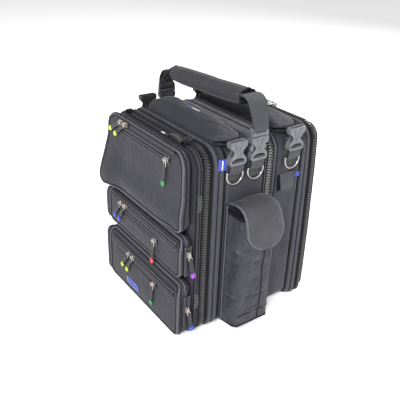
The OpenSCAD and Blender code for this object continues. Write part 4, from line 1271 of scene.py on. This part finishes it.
build = Build(WEBBING, THREAD, WEBBING_PAINTED_SHADE, THREAD, PIPING_AND_PAINTED_SHADE, THREAD, PIPING_AND_PAINTED_SHADE)
ring_webbing(build, REAR_Y)
rows = []
for u in np.linspace(0, 1, 14):     # a wide loop that stands out most at its lower front corner
    y = ZIP1 + 163 + 37 * u
    out = [(136.2 + 9.0 * (1 - u) ** 0.8 * (1 - 0.9 * v) * math.sin(math.pi * min(1, v * 3 + 0.12) / 2),
            y, 263 + 35 * v)
           for v in np.linspace(0, 1, 12)]
    rows.append([(x + 1.1, y, z) for x, y, z in out] + [(x - 1.1, y, z) for x, y, z in reversed(out)])
uvs = [(v * 0.035, u) for u in np.linspace(0, 1, 14)
       for v in list(np.linspace(0, 1, 12)) + list(np.linspace(1, 0, 12))]
build.grid(rows, 0, ends=True, uvs=uvs)
build.grid([[(137.2 + 0.8 * k, ZIP1 + 156 + 9 * t + 3 * (1 - t) * (1 - z), 264 + 33 * z) for t in (0, 0.5, 1)]
            for k, z in zip((0, 1, 1, 0), (0, 0.1, 0.8, 1))], 4, around=False)
for u in (0.86, 0.94):
    build.stitches([(138.6, ZIP1 + 163 + 37 * u, z) for z in np.linspace(267, 294, 9)], material=1)
finished(both(build, 2).done("rear_straps"), "rear_section", "webbing", "rear_webbing")

for side in (1, -1):
    for place, y in (("front", FRONT_Y), ("mid", MID_Y), ("rear", REAR_Y)):
        build = Build(STEEL)
        wire_ring(build, y)
        build = build if side > 0 else build.mirrored()
        body = f"d_ring_{'right' if side > 0 else 'left'}_{place}"
        finished(build.done("wire_" + body), body, "ring_steel", body)

# ---------- side pouches and their flaps ----------

POUCH_LOW, POUCH_HIGH = corners("pouch_right")
FLAP_LOW = corners("flap_right")[0]


def mouth(row, z):
    """The top edge of the pouch sags at its front, where the flap doesn't hold it."""
    near = np.exp(-((row[:, 1] - POUCH_LOW[1] - 6) / 30) ** 2) * (8 + 11
            * np.clip((row[:, 0] - POUCH_LOW[0]) / 40, 0, 1))
    row[:, 2] -= near * max(0.0, (z - 150) / 118) ** 2
    return row


def pouch_section(z, shrink=0.0, count=90):
    """Points round the pouch at height z, from the back of its front gusset to the back of its rear one."""
    low = (z - POUCH_LOW[2]) / (POUCH_HIGH[2] - POUCH_LOW[2])
    y0, y1 = POUCH_LOW[1] + shrink, POUCH_HIGH[1] + 2 - 3 * low - shrink
    x0, x1 = POUCH_LOW[0], POUCH_HIGH[0] - shrink - 2.0 * (1 - low) ** 2
    slant = 6 + 6 * low             # the front gusset slants back towards the outer face
    r, q = 9 - shrink, 5 - 0.5 * shrink
    path = [(x0, y0)]
    path += [(x, y0 + slant * (x - x0) / (x1 - x0)) for x in np.linspace(x0, x1 - r, 7)[1:]]
    path += [(x1 - r + r * math.sin(a), y0 + slant + r - r * math.cos(a))
             for a in np.linspace(0.4, math.pi / 2, 6)]
    path += [(x1, y) for y in np.linspace(y0 + slant + r, y1 - q, 14)[1:-1]]
    path += [(x1 - q + q * math.cos(a), y1 - q + q * math.sin(a)) for a in np.linspace(0, 1.27, 5)]
    path += [(x, y1) for x in np.linspace(x1 - q, x0, 7)]
    path = np.array(path)
    run = distances(path)
    at = np.linspace(0, run[-1], count)
    xy = np.stack([np.interp(at, run, path[:, k]) for k in (0, 1)], axis=1)
    return mouth(np.column_stack([xy, np.full(count, z)]), z)


def slack(rows, seed):
    """Rows with folds and a soft bulge; edges that are sewn down stay still."""
    rows = np.array(rows)
    flat = rows.reshape(-1, 3)
    # from the front gusset round to the rear one
    share = np.tile(np.linspace(0, 1, rows.shape[1]), rows.shape[0])
    z = (flat[:, 2] - POUCH_LOW[2]) / (POUCH_HIGH[2] - POUCH_LOW[2])
    front = np.clip(1 - (share - 0.22) / 0.08, 0, 1)
    rear = np.clip((share - 0.74) / 0.04, 0, 1)
    out = unit(np.stack([1 - np.maximum(front, rear) + 0.2, rear - front, np.zeros(len(flat))], axis=1))
    hold = np.clip(np.minimum(share, 1 - share) * 16, 0, 1) * np.clip(np.minimum(z, 1 - z) * 12, 0, 1)
    hold = hold * np.clip(np.abs(share - 0.76) / 0.05, 0, 1)
    skewed = np.stack([share * 75, flat[:, 2] * 0.3 + share * 22, flat[:, 2] * 0.05], axis=1)
    steep = ripple(skewed, 20, 1.0, seed)
    ridges = 0.5 - 2 * np.abs(ripple(skewed * (1, 1.6, 1), 26, 1.0, seed + 7))
    dents = -np.clip(ripple(flat * (0.4, 0.4, 1.3), 24, 2.2, seed + 3) - 0.7, 0, 1)
    lift = hold * (1.4 + (2.8 + 1.2 * front) * steep + (2.8 + front) * ridges + 2.8 * dents)
    return (flat + out * lift[:, None]).reshape(rows.shape)


def pouch():
    """Open pouch: outer fabric, an inside in black cloth that is painted shade, bound mouth, bottom band and the
    piping of its panels.
    """
    build = Build(POUCH_PAINTED_LIGHT, LINING, PIPING_AND_PAINTED_SHADE, THREAD, EDGING)
    low, high = POUCH_LOW[2], POUCH_HIGH[2]
    heights = np.linspace(low + 3, high, 70)
    outer = slack([pouch_section(z, 1.2 if low + 3 < z < low + 28 else 0.8) for z in heights], 41.0)
    build.grid(outer, 0, around=False)
    # painted shade: the inside of the pouch is in the black piping cloth, not the lining
    inner = [pouch_section(z, 3.2 + 3.8 * ease((high - z) / 20)) for z in np.linspace(high, low + 6, 30)]
    build.grid([outer[-1]] + inner, 2, around=False)
    floor_rows = [pouch_section(low + 3, s)for s in (0.8,)] + [pouch_section(low + 0.8, 3.0)]
    middle = np.array([POUCH_LOW[0], (POUCH_LOW[1] + POUCH_HIGH[1]) / 2, low + 0.8])
    for k in (0.4, 0.8, 0.99):
        floor_rows.append(floor_rows[1] + (middle - floor_rows[1]) * k)
    build.grid(floor_rows, 0, around=False)
    # its inner floor is painted shade in the same black cloth
    bottom = pouch_section(low + 6, 7.0)
    build.grid([bottom] + [bottom + (middle + (0, 0, 5.2) - bottom) * k for k in (0.5, 0.99)],
               2, around=False)
    build.ribbon(pouch_section(high - 2.5, 1.6), (0, 0, 1), 8.0, 3.4, 2)
    band = pouch_section(low + 27, 0.2)
    build.tube(band, 1.3, 2)
    build.stitches(pouch_section(low + 31, -0.2), material=3)
    build.tube(pouch_section(low + 3.5, 0.4), 1.5, 2)

    def upright(share, radius):
        """Piping up the pouch, at a share of the way round it."""
        path = outer[:, round(share * 89)].copy()
        for _ in range(4):
            path[1:-1] = (path[:-2] + 2 * path[1:-1] + path[2:]) / 4
        build.tube(path, radius, 2, up=(0, 1, 0))
        return path
    upright(0.76, 1.6)
    seam = upright(0.60, 1.3)
    build.stitches(seam + (0.9, -4, 0), material=3)
    build.stitches(seam + (0.9, 4, 0), material=3)
    for y_share in (0.0, 1.0):
        path = np.array([(POUCH_LOW[0] + 2.2, POUCH_LOW[1] + y_share * (POUCH_HIGH[1] - POUCH_LOW[1]), z)
                         for z in heights])
        build.tube(path, 1.9, 2, up=(0, 1, 0))
        build.tube(path + (3.4, (0.5 - y_share) * -2.4, 0), 1.3, 4, up=(0, 1, 0))
    return build


# a lighter copy of the padded nylon for the flaps: painted light
FLAP_CLOTH_PAINTED_LIGHT = fabric("flap_nylon_painted_light", (0.026, 0.026, 0.031), (0.125, 0.126, 0.148), pitch=1.1 * MM, sheen=0.15)


def flap(name, side):
    """Pouch flap: one curved pad with a half-round end, a bound edge and an inner row of stitches."""
    spine = smooth_path([(SIDE_X + 0.6, 270.6), (146, 273.4), (160, 275.2),
                         (171, 274.8), (179.5, 271), (184, 262),
                         (185.2, 250), (185.0, 225), (183.6, 205), (182.4, FLAP_LOW[2] + 1.5)], 60)
    run = distances(spine)
    along = tangents(np.column_stack([spine[:, 0], np.zeros(60), spine[:, 1]]), False)
    over = np.column_stack([-along[:, 2], np.zeros(60), along[:, 0]])
    total, radius = run[-1], 40.0
    rows, edge_front, edge_back = [], [], []
    shares = np.concatenate([np.linspace(-1, 1, 25), np.linspace(1, -1, 25)])
    for s, (x, z), normal in zip(run, spine, over):
        # the flap hangs a little askew: its end lies further back than its hinge
        drop = np.clip((s - 40) / (total - 40), 0, 1)
        mid = FLAP_LOW[1] + 46 + 25 * drop ** 1.2
        reach = 35.5 + 4.5 * min(1, s / 90)
        from_tip = total - s
        if from_tip < radius:
            reach = reach * math.sqrt(max(0.0, 1 - ((radius - from_tip) / radius) ** 2)) + 0.6
        row = []
        for k, t in enumerate(shares):
            crown = 1.5 * (1 - t * t) + 1.3 * noise.noise(Vector((s / 30, t * 1.6, 51.0)))
            sag = -2.2 * t * t * math.exp(-((s - 46) / 12) ** 2)
            thick = (1.6 if k < 25 else -1.6) * (1 - 0.75 * t ** 8)
            d = crown + sag + thick - 1.4
            row.append((x + normal[0] * d, mid + t * max(reach, 0.4), z + normal[2] * d))
        rows.append(row)
        if reach > 1.5:
            edge_front.append(np.add(row[0], row[49]) / 2)
            edge_back.append(np.add(row[24], row[25]) / 2)
    build = Build(FLAP_CLOTH_PAINTED_LIGHT, EDGING, THREAD)
    build.grid(rows, 0, ends=True)
    edge = smooth_path(edge_front + edge_back[::-1], 170)
    build.tube(edge, 1.9, 1, up=(1, 0, 0))
    # the inner row of stitches: every point of the edge, moved towards a line up the middle of the flap
    top = np.array([row[:25] for row in rows]).reshape(-1, 3)
    inside = []
    for point in edge[8:-8]:
        heart = np.array((point[0], FLAP_LOW[1] + 66, max(point[2], FLAP_LOW[2] + radius)))
        towards = heart - point
        spot = point + towards / max(np.linalg.norm(towards), 1e-6) * 9
        near = top[np.argmin(np.linalg.norm((top - spot) * (0.3, 1, 1), axis=1))]
        inside.append((near[0] + 0.3, spot[1], spot[2] if point[2] < 255 else near[2] + 0.3))
    build.stitches(smooth_path(inside, 150), material=2)
    made = (build if side > 0 else build.mirrored()).done(name + "_cloth")
    finished(made, name, "panel", name)


right_pouch = pouch()
finished(right_pouch.mirrored().done("pouch_left_cloth"), "main", "fabric", "pouch_left")
finished(right_pouch.done("pouch_right_cloth"), "main", "fabric", "pouch_right")
flap("flap_right", 1)
flap("flap_left", -1)

# ---------- inside, tabs and tags ----------

low, high = corners("divider")
build = Build(PANEL, PIPING_AND_PAINTED_SHADE, THREAD)
points, normals, run = outline(high[0] - low[0] - 2, high[2] - low[2] - 2, 28, low[2] + 1, 160)
centre = np.array((0, (low[2] + high[2]) / 2))
for y, way in ((low[1], -1), (high[1], 1)):
    rows = []
    for k in (0, 0.05, 0.15, 0.3, 0.5, 0.7, 0.9, 0.995):
        xz = points + (centre - points) * k
        rows.append(at_depth(xz, y - way * 1.3 + way * 1.1 * min(1, k * 8)
                             + ripple(at_depth(xz, y), 50, 0.4, 61.0)))
    build.grid(rows, 0)
build.tube(at_depth(points, (low[1] + high[1]) / 2), 1.7, 1, closed=True, up=(0, 1, 0))
build.stitches(at_depth(points - normals * 7, low[1] - 0.2), closed=True, material=2)
pad = finished(build.done("divider_pad"), "main", "panel", "divider")

build = Build(WEBBING, THREAD)
for z0, z1 in ((68, 101), (269, 302)):
    path = smooth_path([(134.6, FACE + 5.4, z0), (137.2, FACE + 5.4, z0 + 4),
                        (138.2, FACE + 5.4, (z0 + z1) / 2),
                        (137.2, FACE + 5.4, z1 - 4), (134.6, FACE + 5.4, z1)], 24)
    build.ribbon(path, (0, 1, 0), 9.0, 2.2, 0)
finished(both(build).done("cap_tabs"), "front_cap", "webbing", "front_cap_tabs")

build = Build(WEBBING, LABEL_WHITE, PIPING_AND_PAINTED_SHADE)
path = smooth_path([(44, FACE + 4, TALL + 0.6), (48, FACE + 4.5, TALL + 5.5), (60, FACE + 5, TALL + 6.5),
                    (74, FACE + 5, TALL + 5.5), (80, FACE + 4, TALL + 0.4)], 26)
build.ribbon(path, (0, 1, 0), 8.0, 2.0, 0)
build.block((22, FACE + 1, TALL + 0.6), (32, FACE + 4.5, TALL + 2.0), 0.5, material=1)
for x in (88, -100):
    build.ribbon(smooth_path([(x, FACE + 4, TALL - 1), (x + 1, FACE + 4, TALL + 6), (x + 7, FACE + 4, TALL + 7),
                              (x + 9, FACE + 4, TALL - 1)], 16), (0, 1, 0), 9.0, 2.0, 2)
finished(build.done("cap_loops"), "front_cap", "webbing")

build = Build(LABEL_BLUE, LABEL_WHITE)     # a plain patch with a stitched edge
on_face = POCKETS[2][2]
patch, patch_normals, run = outline(46, 16, 3, 26, 60)
patch += (-33, 0)
middle = np.array((-33, 34))
build.grid([[on_face(x, z, 0.7 if k else 0.0) for x, z in patch + (middle - patch) * k]
            for k in (0, 0.04, 0.15, 0.3, 0.45, 0.6, 0.8, 0.98)])
build.stitches([on_face(x, z, 0.8) for x, z in patch - patch_normals * 2], closed=True, material=1)
finished(build.done("pocket_patch"), "front_cap", "fabric")

build = Build(LABEL_BLUE, LABEL_WHITE)
rows = [[(SIDE_X + 1.4 + 2.6 * t + 0.5 * math.sin(z / 6), ZIP1 + 21.5 + 15 * t, z)
         for t in np.linspace(0, 1, 5)]
        for z in np.linspace(336, 357, 10)]
build.grid(rows, 0, around=False)
build.tube([np.add(rows[k][2], (0.4, -0.2, 0)) for k in (1, 3, 5, 7, 8)], 1.1, 1, sides=6)
finished(build.done("side_tag"), "main", "fabric")
build = Build(LABEL_BLUE)
rows = [[(143.6 + 1.6 * t, ZIP1 + 196 + 9 * t, z) for t in np.linspace(0, 1, 4)]
        for z in np.linspace(288, 297, 5)]
build.grid(rows, 0, around=False)
finished(build.done("loop_tag"), "rear_section", "fabric")

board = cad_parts["base_board"]
board.data.materials.clear()
board.data.materials.append(BOARD)

# ---------- sliders and pulls ----------


def slider(build, place, size=1.0, ring_pull=False):
    """Zip slider in the axes of place: wedge body, raised crown and the bridge that holds the pull."""
    body = rounded([(-4.4 * size, -4.6 * size), (4.4 * size, -4.6 * size), (5.5 * size, 1.5 * size),
                    (4.6 * size, 4.6 * size), (1.4 * size, 3.4 * size), (-1.4 * size, 3.4 * size),
                    (-4.6 * size, 4.6 * size), (-5.5 * size, 1.5 * size)], 1.2 * size)
    for depth, thick in ((2.7, 0.9), (4.2, 0.9)):
        build.plate([body], thick * size, 0.3 * size, place @ Matrix.Translation((0, 0, -depth * size)))
    build.block((-0.9 * size, 0.4 * size, -4.2 * size), (0.9 * size, 3.2 * size, -2.6 * size),
                0.3 * size, place)
    bridge = [(0, -3.4, -2.3), (0, -3.0, -0.6), (0, -1.8, 0.9), (0, 0, 1.5),
              (0, 1.8, 0.9), (0, 3.0, -0.6), (0, 3.4, -2.3)]
    for x in (-3.3, 3.3):
        path = smooth_path([tuple(place @ (Vector((x * size, b * size, c * size)))) for a, b, c in bridge],
                           16)
        build.tube(path, 0.95 * size, up=tuple(place.to_3x3() @ Vector((1, 0, 0))), sides=8)
    pin = [tuple(place @ Vector((x * size, 0, 0))) for x in np.linspace(-3.6, 3.6, 5)]
    build.tube(pin, 0.95 * size, up=tuple(place.to_3x3() @ Vector((0, 1, 0))), sides=10)
    if ring_pull:
        loop3 = [(-2.4, -0.4), (-2.6, -5), (-2.2, -11.5), (0, -13), (2.2, -11.5),
                 (2.6, -5), (2.4, -0.4), (0, 1.0)]
        path = smooth_path([tuple(place @ Vector((a * size, b * size, 0))) for a, b in loop3],
                           40, closed=True)
        build.tube(path, 0.9 * size, closed=True, up=tuple(place.to_3x3() @ Vector((0, 0, 1))), sides=8)


PULL_WEB = woven_strip("pull_webbing", (0.01, 0.01, 0.012), (0.06, 0.062, 0.07), rib=0.8 * MM, lanes=4)


def pull(build, place, seed):
    """Zip pull in the axes of place: wire link, doubled webbing and a soft coloured end."""
    wire = [(-1.3, 1.2), (-1.7, -2), (-2.7, -6), (-3.4, -10.5), (-2.6, -12),
            (0, -12.2), (2.6, -12), (3.4, -10.5),
            (2.7, -6), (1.7, -2), (1.3, 1.2), (0, 1.9)]
    path = smooth_path([tuple(place @ Vector((a, b, 0))) for a, b in wire], 50, closed=True)
    build.tube(path, 0.8, 0, closed=True, up=tuple(place.to_3x3() @ Vector((0, 0, 1))), sides=8)
    bend = 0.5 * math.sin(seed)
    line = [(bend * t * 2, -9.4 - 34 * t, 0.25 * math.sin(4 * t + seed)) for t in np.linspace(0, 1, 14)]
    side = tuple(place.to_3x3() @ Vector((1, 0, 0)))
    path = [tuple(place @ Vector(p)) for p in line]
    for lift in (-0.55, 0.55):
        over = tuple(place.to_3x3() @ Vector((0, 0, lift)))
        build.ribbon([np.add(p, over) for p in path], side, 7.8, 1.0, 1)
    end = []
    for t in np.linspace(0, 1, 14):
        half = (4.2 if t < 0.35 else 4.7) * math.sqrt(max(0.02, 1 - max(0.0, (t - 0.45) / 0.55) ** 2.2))
        deep = 1.9 * math.sqrt(max(0.04, 1 - max(0.0, (t - 0.5) / 0.5) ** 2.4))
        row = []
        for a in np.linspace(0, 2 * math.pi, 20, endpoint=False):
            x = half * math.copysign(abs(math.cos(a)) ** 0.6, math.cos(a))
            z = deep * math.copysign(abs(math.sin(a)) ** 0.6, math.sin(a))
            row.append(tuple(place @ Vector((x + bend * 2, -40.4 - 11.4 * t, z))))
        end.append(row)
    build.grid(end, 2, ends=True)
    build.tube([tuple(place @ Vector((bend * 2 + 4.0 * math.cos(a), -42.4, 2.1 * math.sin(a))))
                for a in np.linspace(0, 2 * math.pi, 20, endpoint=False)], 0.45, 2, closed=True,
               up=tuple(place.to_3x3() @ Vector((0, 1, 0))), sides=6)


def front_axes(pin, lean=0.0):
    """X along the zipper, Y up and Z out of the bag's front, leaning towards -X by lean degrees."""
    return Matrix.Translation(pin) @ Matrix(((1, 0, 0, 0), (0, 0, -1, 0), (0, 1, 0, 0), (0, 0, 0, 1))) \
        @ Matrix.Rotation(math.radians(-lean), 4, "Z")


def side_axes(pin, lean=0.0):
    """The same on the right side of the bag, turned a quarter."""
    return Matrix.Translation(pin) @ Matrix(((0, 0, 1, 0), (1, 0, 0, 0), (0, 1, 0, 0), (0, 0, 0, 1))) \
        @ Matrix.Rotation(math.radians(-lean), 4, "Z")


PULLS = (("top_a", 60, "yellow"), ("top_b", 54, "yellow"), ("top_face", 8, "green"),
         ("middle_a", 34, "blue"), ("middle_b", 32, "blue"), ("middle_face", 8, "red"),
         ("middle_side", -11, "violet"),
         ("bottom_a", 34, "yellow"), ("bottom_b", 31, "yellow"), ("bottom_face", 8, "green"),
         ("bottom_side", -11, "blue"))
for number, (place, lean, colour) in enumerate(PULLS):
    low, high = corners("slider_" + place)
    on_front = not place.endswith("side")
    if on_front:
        pin = Vector(((low[0] + high[0]) / 2, low[1] + 1, (low[2] + high[2]) / 2))
        axes = front_axes
    else:
        pin = Vector((high[0] - 1, (low[1] + high[1]) / 2, (low[2] + high[2]) / 2))
        axes = side_axes
    build = Build(ZINC)
    slider(build, axes(pin) @ Matrix.Rotation(0 if on_front else math.pi / 2, 4, "Z"))
    finished(build.done("slider_body_" + place), "slider_" + place, "zip_metal", "slider_" + place)
    build = Build(ZINC, PULL_WEB, ENDS[colour])
    pull(build, axes(pin, lean), number * 1.7)
    finished(build.done("pull_tab_" + place), "pull_" + place, "pull_" + colour, "pull_" + place)

for name in ("front_zip_slider", "rear_slider_a", "rear_slider_b"):
    low, high = corners(name)
    line = ZIP1 if name == "front_zip_slider" else ZIP3
    pin = Vector(((low[0] + high[0]) / 2, line, high[2] - 1.3))
    place = Matrix.Translation(pin) @ Matrix(((1, 0, 0, 0), (0, 1, 0, 0), (0, 0, 1, 0), (0, 0, 0, 1)))
    build = Build(STEEL if line == ZIP3 else GUNMETAL)
    slider(build, place, 1.3, ring_pull=True)
    finished(build.done(name + "_metal"), name, "zip_metal", name)

# ---------- floor, light and camera ----------

bpy.ops.mesh.primitive_plane_add(size=40, location=(0, 0, -0.0005))
floor = bpy.context.object
floor.name = "floor"
white, _, white_shader = new_material("floor_white")
white_shader.inputs["Base Color"].default_value = (0.93, 0.93, 0.93, 1)
white_shader.inputs["Roughness"].default_value = 0.85
white_shader.inputs["Emission Color"].default_value = (1, 1, 1, 1)
white_shader.inputs["Emission Strength"].default_value = 0.32
floor.data.materials.append(white)


def area_light(name, place, target, size, power):
    data = bpy.data.lights.new(name, "AREA")
    data.size = size
    data.energy = power
    lamp = bpy.data.objects.new(name, data)
    lamp.location = place
    lamp.rotation_euler = (Vector(target) - Vector(place)).to_track_quat("-Z", "Y").to_euler()
    bpy.context.scene.collection.objects.link(lamp)


# name, place and target in metres, size in metres, power in watts
for lamp_row in (
        ("key", (1.6, -1.9, 2.1), (0, 0, 0.2), 0.9, 106),
        ("fill", (-1.6, -2.2, 1.2), (0, 0, 0.2), 1.4, 16),
        ("side", (2.4, 0.6, 0.9), (0, 0, 0.2), 1.0, 20),
        ("back", (-0.5, 2.2, 1.8), (0, 0, 0.3), 1.4, 72),
):
    area_light(*lamp_row)
world = bpy.data.worlds.new("studio")
world.use_nodes = True
world.node_tree.nodes["Background"].inputs[0].default_value = (1, 1, 1, 1)
world.node_tree.nodes["Background"].inputs[1].default_value = 0.42
bpy.context.scene.world = world
bpy.context.scene.view_settings.view_transform = "Standard"

camera_data = bpy.data.cameras.new("camera")
camera_data.lens = 49.94
camera_data.sensor_width = 36
camera_data.clip_start = 0.02
camera = bpy.data.objects.new("camera", camera_data)
azimuth, elevation, roll = math.radians(54.01), math.radians(27.65), math.radians(2.12)
forward = Vector((-math.sin(azimuth) * math.cos(elevation), math.cos(azimuth) * math.cos(elevation),
                  -math.sin(elevation)))
right = forward.cross(Vector((0, 0, 1))).normalized()
up = right.cross(forward)
right, up = (math.cos(roll) * right + math.sin(roll) * up, math.cos(roll) * up - math.sin(roll) * right)
camera.matrix_world = Matrix(((right.x, up.x, -forward.x, 0.7943), (right.y, up.y, -forward.y, -0.5996),
                              (right.z, up.z, -forward.z, 0.7190), (0, 0, 0, 1)))
bpy.context.scene.collection.objects.link(camera)
bpy.context.scene.camera = camera
